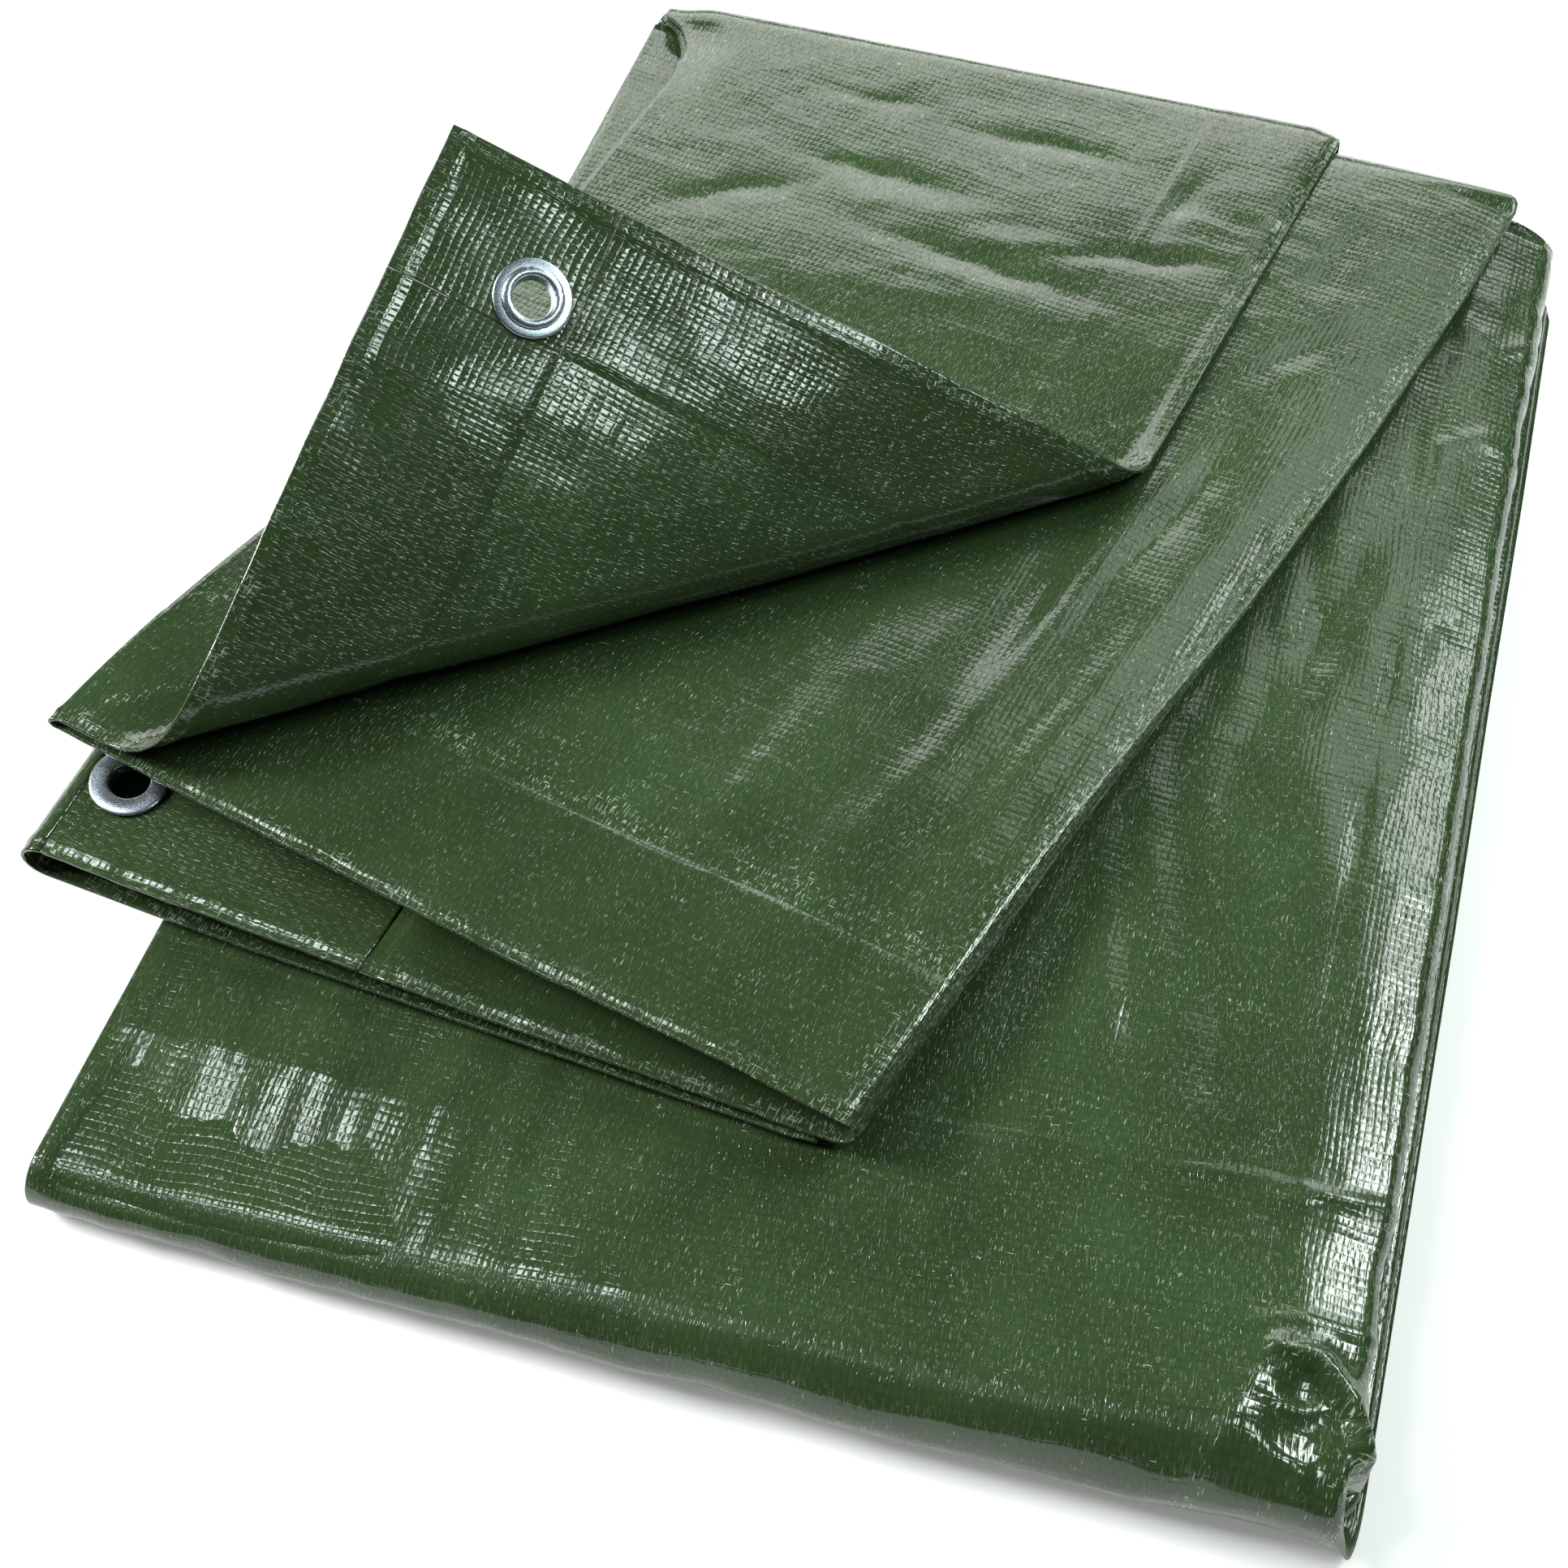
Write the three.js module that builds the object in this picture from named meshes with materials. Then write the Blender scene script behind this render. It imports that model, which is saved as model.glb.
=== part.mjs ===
import * as THREE from 'three';

// A woven polyethylene tarpaulin, folded into a packet whose last leg comes forward
// over the top as a turned strip, with one eyeleted corner rolled back.
// Millimetres, +Z up, +X along the packet's front edge, +Y away from it.

// Driving dimensions
const sheetThickness = 1.0;
const hemPlies = 2.0;
const hemGap = 0.3;

const packetLeft = -171;
const packetRight = 177;
const packetFront = -258;
const packetLength = 480;
const leftEdgeDrift = 12;

// Height of one layer of the stack, at the packet's four corners
const layerPitch = { frontLeft: 1.73, frontRight: 3.2, backLeft: 2.5, backRight: 3.2 };

// The packet's front and back outlines, seen from above
const outline = [
  { x: packetLeft, front: packetFront, back: 241 },
  { x: -140, front: -258.5, back: 238 },
  { x: 0, front: -256.5, back: 230 },
  { x: 100, front: -254, back: 223 },
  { x: packetRight, front: -250, back: 211 },
];

// Legs of the packet, bottom to top. The four panels A, B, C and D lie side by side in the
// sheet and are folded over each other: A and D have free edges, B and C meet at a fold.
const legs = {
  tucked: { level: 4, step: 1, left: -164, edgeA: 120, foldBC: 148, creaseD: 130, edgeD: 150 },
  bottom: { level: 3, step: -1, left: -171, edgeA: 140, foldBC: 170, creaseD: 146, edgeD: 177 },
  top: { level: 8, step: 1, left: -170, edgeA: 118, foldBC: 142, creaseD: 145, edgeD: 175 },
};
const stripLevel = 15;
const shoulderLevel = 11;
const shoulderFoot = 9;
const tuckedEndSetback = 8;

// Depth of each end fold at panel A, in layers. The other panels lie outside or inside it.
const foldReach = { tucked: 0.5, front: 2.5, top: 3.5 };
const panelSteps = 3;
const topFoldSlack = 2;
const sideFoldShare = 0.55;

// The strip's edges from the back fold to its front hem
const stripEdges = [
  { v: 0.00, highLeft: [-134, 225], lowLeft: [-135, 225], foldBC: [154, 200] },
  { v: 0.12, highLeft: [-138, 187], lowLeft: [-140, 182], foldBC: [144, 158] },
  { v: 0.28, highLeft: [-150, 127], lowLeft: [-152, 116], foldBC: [123, 84] },
  { v: 0.50, highLeft: [-164, 44], lowLeft: [-168, 32], foldBC: [96, 0] },
  { v: 0.75, highLeft: [-182, -50], lowLeft: [-186, -70], foldBC: [61, -99] },
  { v: 0.88, highLeft: [-197, -100], lowLeft: [-197, -125], foldBC: [44, -151] },
  { v: 1.00, highLeft: [-209, -141], lowLeft: [-202, -173], foldBC: [30, -193] },
];
const insetD = 4;
const creaseBandD = 8;
const stripFoldBulge = {
  AB: { back: 2.2, front: 2.2, from: 0 },
  BC: { back: 2.2, front: 6, from: 0.5 },
  CD: { back: 2.2, front: 7, from: 0.3 },
};

// Heights by which the strip's panels stand off the flat stack, along the front hem
const liftAcross = [
  { fromHem: -30, B: 14, C: 1.5, D: 0.8 },
  { fromHem: 0, B: 14, C: 2, D: 0.8 },
  { fromHem: 80, B: 14.5, C: 4.5, D: 1 },
  { fromHem: 150, B: 20, C: 10, D: 2 },
  { fromHem: 230, B: 25, C: 16, D: 4 },
];
const liftReach = 260;
const liftShareA = 1.08;

// The turned-back corner. Distances from the corner run along its two hems.
const corner = [14.8, -185];
const sideHemDirection = [0.195, 0.981];
const endHemDirection = [-0.981, 0.195];
const stripBackFromCorner = 405;
const foldOnSideHem = 244;
const foldOnEndHem = 214;
const rollAtSideHem = 8;
const rollAtEndHem = 15;
const flapRiseAtRoll = 46;
const flapRiseAtTip = 36;
const flapBendShare = 0.55;

// Hem pieces that hold the eyelets
const sideHemWidth = 44;
const endHemWidth = 52;
const hemCornerU = endHemWidth / (sideHemWidth + endHemWidth);
const cornerEyelet = { fromSideHem: 34, fromEndHem: 39 };
const lowerHem = { span: 236, farU: 0.42, hemV: 0.88, depth: 50, eyeletFromFold: 11, eyeletFromEdge: 30 };
const hemHoleRadius = 7.2;
const rimSeat = 12;

// Eyelet: r from the axis, h above the middle of the hem; the washer's side is up
const eyeletProfile = [
  { r: 5.75, h: -1.6 }, { r: 6.4, h: -2.1 }, { r: 10.7, h: -2.1 }, { r: 11.2, h: -1.7 },
  { r: 11.1, h: -1.3 }, { r: 6.15, h: -1.3 }, { r: 6.15, h: 2.3 }, { r: 8.5, h: 2.3 },
  { r: 8.8, h: 2.65 }, { r: 8.1, h: 3.15 }, { r: 7.1, h: 3.3 }, { r: 6.1, h: 3.0 },
];
const washerProfile = [
  { r: 6.5, h: 1.3 }, { r: 11.1, h: 1.3 }, { r: 11.3, h: 1.6 }, { r: 10.8, h: 1.95 },
  { r: 7.2, h: 2.0 }, { r: 6.5, h: 1.8 },
];
const eyeletSides = 28;

const lerp = (a, b, t) => a + (b - a) * t;
const clamp01 = (t) => Math.min(1, Math.max(0, t));
const smooth = (t) => clamp01(t) ** 2 * (3 - 2 * clamp01(t));
const mix = (p, q, t) => p.map((value, i) => lerp(value, q[i], t));
const evenly = (from, to, steps) => Array.from({ length: steps + 1 }, (_, i) => lerp(from, to, i / steps));

// Reads one column of a table at a key value, straight between its rows
function readTable(table, key, at, column) {
  let row = 0;
  while (row < table.length - 2 && at > table[row + 1][key]) row += 1;
  const from = table[row];
  const to = table[row + 1];
  const t = clamp01((at - from[key]) / (to[key] - from[key]));
  return Array.isArray(from[column]) ? mix(from[column], to[column], t) : lerp(from[column], to[column], t);
}

function pitchAt(x, y) {
  const across = clamp01((x - packetLeft) / (legs.top.creaseD - packetLeft));
  const along = clamp01((y - packetFront) / packetLength);
  const front = lerp(layerPitch.frontLeft, layerPitch.frontRight, across);
  const back = lerp(layerPitch.backLeft, layerPitch.backRight, across);
  return lerp(front, back, along);
}

const stackHeight = (level, x, y) => sheetThickness / 2 + level * pitchAt(x, y);

// Centre lines of the front and back folds
function frontFoldCentre(x) {
  const depth = (foldReach.front + panelSteps) * pitchAt(x, packetFront) + sheetThickness / 2;
  return readTable(outline, 'x', x, 'front') + depth;
}
function backFoldCentre(x) {
  const depth = foldReach.top * pitchAt(x, packetFront + packetLength) + topFoldSlack + sheetThickness / 2;
  return readTable(outline, 'x', x, 'back') - depth;
}

// Columns of the sheet, from panel A's free hem to panel D's free edge
function sheetColumns(counts) {
  const columns = [];
  const panel = (name, order, places) => {
    places.forEach((u) => columns.push({ panel: name, order, u, turn: 0 }));
  };
  const fold = (name, order, side, steps) => {
    for (let i = 1; i < steps; i += 1) {
      columns.push({ panel: name, order, side, turn: (Math.PI * i) / steps });
    }
  };
  panel('A', 0, [...evenly(1, hemCornerU, counts.A), ...evenly(hemCornerU, 0, counts.A).slice(1)]);
  fold('AB', 0, -1, counts.AB);
  panel('B', 1, evenly(0, 1, counts.B));
  fold('BC', 1, 1, counts.BC);
  panel('C', 2, [...evenly(1, lowerHem.farU, counts.C), ...evenly(lowerHem.farU, 0, 2).slice(1)]);
  fold('CD', 2, -1, counts.CD);
  panel('D', 3, evenly(0, 1, counts.D));
  panel('shoulder', 3, evenly(0, 1, counts.shoulder).slice(1));
  return columns;
}

const orderOf = (column) => column.order + (1 - Math.cos(column.turn)) / 2;

// A point of the packet's flat legs, at a distance y along them
function legPoint(name, column, y) {
  const leg = legs[name];
  const order = orderOf(column);
  const rights = { A: leg.edgeA, B: leg.foldBC, C: leg.foldBC, D: leg.creaseD };
  const left = leg.left + leftEdgeDrift * clamp01((y(leg.left) - packetFront) / packetLength);
  let x = 0;
  if (column.panel === 'shoulder') {
    x = lerp(leg.creaseD, leg.edgeD, column.u);
  } else if (column.side) {
    const bulge = sideFoldShare * pitchAt(column.side * packetRight, y(0));
    x = (column.side < 0 ? left : leg.foldBC) + column.side * bulge * Math.sin(column.turn);
  } else {
    x = lerp(left, rights[column.panel], column.u);
  }
  let z = stackHeight(leg.level + leg.step * order, x, y(x));
  if (name === 'top' && column.panel === 'shoulder') {
    const angle = (column.u * Math.PI) / 2;
    x = lerp(leg.creaseD, leg.edgeD, Math.sin(angle));
    z = lerp(shoulderFoot, stackHeight(shoulderLevel, leg.creaseD, y(x)), Math.cos(angle));
  }
  return [x, y(x), z];
}

const fromSideHem = (x, y) => (x - corner[0]) * endHemDirection[0] + (y - corner[1]) * endHemDirection[1];
const fromEndHem = (x, y) => (x - corner[0]) * sideHemDirection[0] + (y - corner[1]) * sideHemDirection[1];

// How far a panel of the strip stands off the stack at a place
function liftAt(order, x, y) {
  const a = fromSideHem(x, y);
  const b = fromEndHem(x, y);
  const fall = smooth(1 - b / liftReach);
  const row = { D: 0, C: 0, B: 0 };
  Object.keys(row).forEach((name) => {
    row[name] = readTable(liftAcross, 'fromHem', a, name) * fall;
  });
  const steps = [row.B * liftShareA, row.B, row.C, row.D];
  const low = Math.floor(order);
  return lerp(steps[low], steps[Math.min(3, low + 1)], order - low);
}

const stripHeight = (order, x, y) => stackHeight(stripLevel - order, x, y) + liftAt(order, x, y);

// Panel A's rows swing round until the last one lies on the corner's fold line
function sideHemPoint(distance) {
  return corner.map((value, i) => value + sideHemDirection[i] * distance);
}

function stripPoint(column, v) {
  const high = readTable(stripEdges, 'v', v, 'highLeft');
  const low = readTable(stripEdges, 'v', v, 'lowLeft');
  const foldBC = readTable(stripEdges, 'v', v, 'foldBC');
  const order = orderOf(column);
  const creaseD = [foldBC[0] - insetD - creaseBandD, foldBC[1]];
  const edgeD = [foldBC[0] - insetD, foldBC[1]];
  const spans = {
    A: [high, sideHemPoint(lerp(stripBackFromCorner, foldOnSideHem, v))],
    B: [high, foldBC],
    C: [low, foldBC],
    D: [low, creaseD],
    shoulder: [creaseD, edgeD],
  };
  let place = [0, 0];
  if (column.side) {
    const edge = { AB: high, BC: foldBC, CD: low }[column.panel];
    const { back, front, from } = stripFoldBulge[column.panel];
    const bulge = lerp(back, front, smooth((v - from) / (1 - from)));
    place = [edge[0] + column.side * bulge * Math.sin(column.turn), edge[1]];
  } else {
    place = mix(...spans[column.panel], column.u);
  }
  return [place[0], place[1], stripHeight(order, place[0], place[1])];
}

// Rolls a flat place of panel A back over the diagonal between the two hems
const foldStart = sideHemPoint(foldOnSideHem);
const foldEnd = corner.map((value, i) => value + endHemDirection[i] * foldOnEndHem);
const foldLength = Math.hypot(foldEnd[0] - foldStart[0], foldEnd[1] - foldStart[1]);
const foldLine = foldEnd.map((value, i) => (value - foldStart[i]) / foldLength);
const towardCorner = [-foldLine[1], foldLine[0]];
const depthOf = (x, y) => (x - foldStart[0]) * towardCorner[0] + (y - foldStart[1]) * towardCorner[1];
const cornerDepth = depthOf(...corner);

function flapPoint(x, y) {
  const base = stripHeight(0, x, y);
  const along = (x - foldStart[0]) * foldLine[0] + (y - foldStart[1]) * foldLine[1];
  const depth = depthOf(x, y);
  if (depth <= 0) return [x, y, base];
  const foot = foldStart.map((value, i) => value + foldLine[i] * along);
  const riseStart = THREE.MathUtils.degToRad(flapRiseAtRoll);
  const riseEnd = THREE.MathUtils.degToRad(flapRiseAtTip);
  const radius = lerp(rollAtSideHem, rollAtEndHem, clamp01(along / foldLength));
  const rollAngle = Math.PI - riseStart;
  const turned = Math.min(depth / radius, rollAngle);
  let out = radius * Math.sin(turned);
  let up = radius * (1 - Math.cos(turned));
  const past = depth - radius * rollAngle;
  if (past > 0) {
    const bendLength = (cornerDepth - radius * rollAngle) * flapBendShare;
    const rate = (riseEnd - riseStart) / bendLength;
    const bent = Math.min(past, bendLength);
    out -= (Math.sin(riseStart + rate * bent) - Math.sin(riseStart)) / rate;
    up += (Math.cos(riseStart) - Math.cos(riseStart + rate * bent)) / rate;
    out -= (past - bent) * Math.cos(riseEnd);
    up += (past - bent) * Math.sin(riseEnd);
  }
  const footHeight = stripHeight(0, foot[0], foot[1]);
  return [foot[0] + towardCorner[0] * out, foot[1] + towardCorner[1] * out, footHeight + up];
}

function cornerPlace(a, b) {
  return corner.map((value, i) => value + endHemDirection[i] * a + sideHemDirection[i] * b);
}

// Flap rows run from the fold line to the stepped edge left for the corner's hem piece
function flapRowPlace(u, w) {
  const start = mix(readTable(stripEdges, 'v', 1, 'highLeft'), foldStart, u);
  const a = sideHemWidth + hemGap;
  const b = endHemWidth + hemGap;
  const end = u < hemCornerU
    ? cornerPlace(a, b * (u / hemCornerU))
    : cornerPlace(a * (1 - (u - hemCornerU) / (1 - hemCornerU)), b);
  return mix(start, end, w);
}

// Rows of the sheet, from the tucked-in end to the strip's front hem and the flap
function sheetRows(counts) {
  const rows = [];
  const leg = (name, fromY, toY, steps) => {
    for (let i = 0; i <= steps; i += 1) {
      const along = (x) => lerp(fromY(x), toY(x), i / steps);
      rows.push((column) => legPoint(name, column, along));
    }
  };
  const fold = (below, above, reach, side, steps, slack = 0) => {
    for (let i = 1; i < steps; i += 1) {
      const turn = (Math.PI * i) / steps;
      rows.push((column) => {
        const p = below(column);
        const q = above(column);
        const point = mix(p, q, (1 - Math.cos(turn)) / 2);
        const depth = reach(orderOf(column)) * pitchAt(point[0], point[1]) + slack;
        point[1] += side * depth * Math.sin(turn);
        return point;
      });
    }
  };
  const tuckedEnd = (x) => frontFoldCentre(x) + tuckedEndSetback;
  leg('tucked', tuckedEnd, backFoldCentre, counts.tucked);
  fold((c) => legPoint('tucked', c, backFoldCentre), (c) => legPoint('bottom', c, backFoldCentre),
    (order) => foldReach.tucked + order, 1, counts.backFold);
  leg('bottom', backFoldCentre, frontFoldCentre, counts.bottom);
  fold((c) => legPoint('bottom', c, frontFoldCentre), (c) => legPoint('top', c, frontFoldCentre),
    (order) => foldReach.front + order, -1, counts.frontFold);
  leg('top', frontFoldCentre, backFoldCentre, counts.top);
  fold((c) => legPoint('top', c, backFoldCentre), (c) => stripPoint(c, 0),
    (order) => foldReach.top - order, 1, counts.topFold, topFoldSlack);
  // Panel C's front hem is left open for the piece that holds its eyelet
  const opened = ({ panel, u }, v) => panel === 'C' && v > lowerHem.hemV && u > 0 && u < lowerHem.farU;
  const stripRows = [...evenly(0, lowerHem.hemV, counts.strip), ...evenly(lowerHem.hemV, 1, 2).slice(1)];
  stripRows.forEach((v) => rows.push((column) => (opened(column, v) ? undefined : stripPoint(column, v))));
  return rows;
}

// Depths of the flap's rows, closer together where it rolls
function flapShares(counts) {
  const rollShare = 0.3;
  return [...evenly(0, rollShare, counts.roll), ...evenly(rollShare, 1, counts.flap).slice(1)].slice(1);
}

// Closes a grid of middle-surface points into a solid of even thickness
function thicken(points, thickness, wraps) {
  const rowCount = points.length;
  const columnCount = points[0].length;
  const at = (r, c) => (points[r] ? points[r][wraps ? (c + columnCount) % columnCount : c] : undefined);
  const positions = [];
  const index = new Map();
  const vertex = (r, c, side) => {
    const column = wraps ? c % columnCount : c;
    const key = `${r},${column},${side}`;
    if (index.has(key)) return index.get(key);
    const here = at(r, c);
    const vector = (p, q) => new THREE.Vector3(...q).sub(new THREE.Vector3(...p));
    const alongColumns = vector(at(r, c - 1) ?? here, at(r, c + 1) ?? here);
    const alongRows = vector(at(r - 1, c) ?? here, at(r + 1, c) ?? here);
    const normal = alongColumns.cross(alongRows).normalize();
    const offset = (side * thickness) / 2;
    positions.push(here[0] + normal.x * offset, here[1] + normal.y * offset, here[2] + normal.z * offset);
    index.set(key, positions.length / 3 - 1);
    return index.get(key);
  };
  const triangles = [];
  const quad = (a, b, c, d) => triangles.push(a, b, c, a, c, d);
  const full = (r, c) => Boolean(at(r, c) && at(r, c + 1) && at(r + 1, c) && at(r + 1, c + 1));
  const cells = wraps ? columnCount : columnCount - 1;
  for (let r = 0; r < rowCount - 1; r += 1) {
    for (let c = 0; c < cells; c += 1) {
      if (full(r, c)) {
        const ring = [[r, c], [r, c + 1], [r + 1, c + 1], [r + 1, c]];
        const beyond = [full(r - 1, c), full(r, c + 1), full(r + 1, c), full(r, c - 1)];
        quad(...ring.map(([i, j]) => vertex(i, j, 1)));
        quad(...ring.map(([i, j]) => vertex(i, j, -1)).reverse());
        ring.forEach((p, k) => {
          const q = ring[(k + 1) % 4];
          if (!beyond[k]) quad(vertex(...p, 1), vertex(...p, -1), vertex(...q, -1), vertex(...q, 1));
        });
      }
    }
  }
  const geometry = new THREE.BufferGeometry();
  geometry.setAttribute('position', new THREE.Float32BufferAttribute(positions, 3));
  geometry.setIndex(triangles);
  return geometry;
}

function tarpGrid() {
  const columns = sheetColumns({ A: 6, AB: 4, B: 7, BC: 5, C: 4, CD: 5, D: 7, shoulder: 5 });
  const rows = sheetRows({ tucked: 3, backFold: 4, bottom: 4, frontFold: 7, top: 6, topFold: 5, strip: 8 });
  const grid = rows.map((row) => columns.map(row));
  flapShares({ roll: 8, flap: 4 }).forEach((w) => {
    grid.push(columns.map((column) => {
      if (column.panel !== 'A') return undefined;
      const place = flapRowPlace(column.u, w);
      return flapPoint(...place);
    }));
  });
  return grid;
}

// A hem piece round its eyelet hole: rings from the hole out to the piece's edges
function hemGrid(pointAt, centre, low, high) {
  const edgeSteps = 8;
  const rimLimit = 0.9;
  const corners = [[low[0], low[1]], [high[0], low[1]], [high[0], high[1]], [low[0], high[1]]];
  const outer = corners.flatMap((from, i) => evenly(0, 1, edgeSteps).slice(0, -1)
    .map((t) => mix(from, corners[(i + 1) % 4], t)));
  return ['hole', 'rim', 'edge'].map((ring) => outer.map((edge) => {
    const reach = Math.hypot(edge[0] - centre[0], edge[1] - centre[1]);
    const radius = { hole: hemHoleRadius, rim: Math.min(rimSeat, reach * rimLimit), edge: reach }[ring];
    return pointAt(...mix(centre, edge, radius / reach));
  }));
}

const cornerHemPoint = (a, b) => flapPoint(...cornerPlace(a, b));

// Panel C's hem, by distance back from its edge and distance from the fold with panel D
function lowerHemPoint(fromEdge, fromFold) {
  const v = 1 - ((1 - lowerHem.hemV) * fromEdge) / lowerHem.depth;
  return stripPoint({ panel: 'C', order: 2, u: fromFold / lowerHem.span, turn: 0 }, v);
}

// Turns a part made about +Z so that it stands on a hem, washer side outward
function seatOn(mesh, pointAt, a, b) {
  const spot = (i, j) => new THREE.Vector3(...pointAt(a + i, b + j));
  const across = spot(1, 0).sub(spot(-1, 0));
  const along = spot(0, 1).sub(spot(0, -1));
  const axis = across.cross(along).normalize();
  mesh.position.copy(spot(0, 0));
  mesh.quaternion.setFromUnitVectors(new THREE.Vector3(0, 0, 1), axis);
}

function turned(profile) {
  const points = [...profile, profile[0]].map(({ r, h }) => new THREE.Vector2(r, h));
  return new THREE.LatheGeometry(points, eyeletSides).rotateX(Math.PI / 2);
}

const laminate = new THREE.MeshStandardMaterial({ color: '#33472a', roughness: 0.34, metalness: 0 });
const weldedHem = new THREE.MeshStandardMaterial({ color: '#2f4227', roughness: 0.36, metalness: 0 });
const plated = new THREE.MeshStandardMaterial({ color: '#aab2bb', roughness: 0.28, metalness: 1 });

const group = new THREE.Group();
function add(name, geometry, material) {
  const mesh = new THREE.Mesh(geometry, material);
  mesh.name = name;
  group.add(mesh);
  return mesh;
}

add('tarp_sheet', thicken(tarpGrid(), sheetThickness, false), laminate);

const { fromSideHem: eyeletA, fromEndHem: eyeletB } = cornerEyelet;
const cornerHem = hemGrid(cornerHemPoint, [eyeletA, eyeletB], [0, 0], [sideHemWidth, endHemWidth]);
add('corner_hem', thicken(cornerHem, hemPlies, true), weldedHem);

const { eyeletFromEdge, eyeletFromFold } = lowerHem;
const lowerHemGrid = hemGrid(lowerHemPoint, [eyeletFromEdge, eyeletFromFold],
  [0, hemGap], [lowerHem.depth - hemGap, lowerHem.farU * lowerHem.span - hemGap]);
add('end_hem', thicken(lowerHemGrid, hemPlies, true), weldedHem);

[
  { place: 'corner', pointAt: cornerHemPoint, a: eyeletA, b: eyeletB },
  { place: 'end', pointAt: lowerHemPoint, a: eyeletFromEdge, b: eyeletFromFold },
].forEach(({ place, pointAt, a, b }) => {
  seatOn(add(`eyelet_${place}`, turned(eyeletProfile), plated), pointAt, a, b);
  seatOn(add(`washer_${place}`, turned(washerProfile), plated), pointAt, a, b);
});

// The origin is the middle of the footprint, on the floor
const bounds = new THREE.Box3().setFromObject(group, true);
const middle = bounds.getCenter(new THREE.Vector3());
group.position.set(-middle.x, -middle.y, -bounds.min.z);

export default group;
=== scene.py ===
from math import cos, hypot, pi, radians, sin

import bpy
import numpy as np
from mathutils import Matrix, Vector, noise


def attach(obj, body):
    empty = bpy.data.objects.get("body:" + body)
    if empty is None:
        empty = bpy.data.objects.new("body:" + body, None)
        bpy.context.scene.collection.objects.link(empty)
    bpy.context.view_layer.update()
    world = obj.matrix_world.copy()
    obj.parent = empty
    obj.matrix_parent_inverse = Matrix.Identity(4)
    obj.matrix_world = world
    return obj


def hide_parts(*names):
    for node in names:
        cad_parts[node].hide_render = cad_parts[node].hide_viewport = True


# Folded laminated woven tarpaulin. The fold sizes are millimetres in the packet's own
# frame and are turned to metres, round the middle of the footprint, as a mesh is made.

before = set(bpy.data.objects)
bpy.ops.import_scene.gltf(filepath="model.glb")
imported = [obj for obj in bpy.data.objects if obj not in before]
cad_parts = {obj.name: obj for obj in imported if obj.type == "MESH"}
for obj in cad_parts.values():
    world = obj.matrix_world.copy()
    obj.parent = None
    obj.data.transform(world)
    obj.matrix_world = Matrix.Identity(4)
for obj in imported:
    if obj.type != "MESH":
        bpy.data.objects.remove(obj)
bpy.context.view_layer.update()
print("frame loaded")

packet = {
    "left": -171,
    "right": 177,
    "front": -258,
    "length": 480,
    "leftDrift": 12,
    "footprintMiddle": (-17.339, -10.005),
    "lowestPly": 0.5,
    "pitchFront": (1.73, 3.2),  # ply spacing at the left and right of the front
    "pitchBack": (2.5, 3.2),
    "outlineX": (-171, -140, 0, 100, 177),
    "outlineFront": (-258, -258.5, -256.5, -254, -250),
    "outlineBack": (241, 238, 230, 223, 211),
    "ply": 0.5,
}

mm = 0.001


def lerp(a, b, t):
    return a + (b - a) * t


def smooth(t):
    t = np.clip(t, 0, 1)
    return t * t * (3 - 2 * t)


def bell(d, width):
    return np.exp(-((d / width) ** 2))


def roughField(x, y, sizeX, sizeY, seed):
    # gentle noise from -1 to 1, one bump about every sizeX by sizeY
    x, y = np.broadcast_arrays(np.asarray(x, float), np.asarray(y, float))
    flat = [noise.noise((p / sizeX, q / sizeY, seed)) for p, q in zip(x.ravel(), y.ravel())]
    return np.array(flat).reshape(x.shape)


def creaseField(x, y, sizeX, sizeY, seed):
    # sharp little ridges between soft hollows
    return 1 - np.abs(roughField(x, y, sizeX, sizeY, seed)) * 2.4


def hexColour(code):
    parts = [int(code[i : i + 2], 16) / 255 for i in (1, 3, 5)]
    return [c / 12.92 if c <= 0.04045 else ((c + 0.055) / 1.055) ** 2.4 for c in parts] + [1.0]


def toMetres(points):
    points = np.array(points, float)
    points[..., 0] -= packet["footprintMiddle"][0]
    points[..., 1] -= packet["footprintMiddle"][1]
    return points * mm


view = {
    # fitted to the packet's outline, in metres, degrees and pixels
    "place": (0.1094, -0.4324, 0.56875),
    "yaw": -16.7,
    "down": 55.4,
    "focalPixels": 2831,
    "imagePixels": 1932,
}
cameraData = bpy.data.cameras.new("photoCamera")
cameraData.sensor_width = 36
cameraData.lens = 36 * view["focalPixels"] / view["imagePixels"]
cameraData.clip_start = 0.02
camera = bpy.data.objects.new("photoCamera", cameraData)
camera.location = view["place"]
camera.rotation_euler = (radians(90 - view["down"]), 0, radians(-view["yaw"]))
bpy.context.scene.collection.objects.link(camera)
bpy.context.scene.camera = camera

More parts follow.
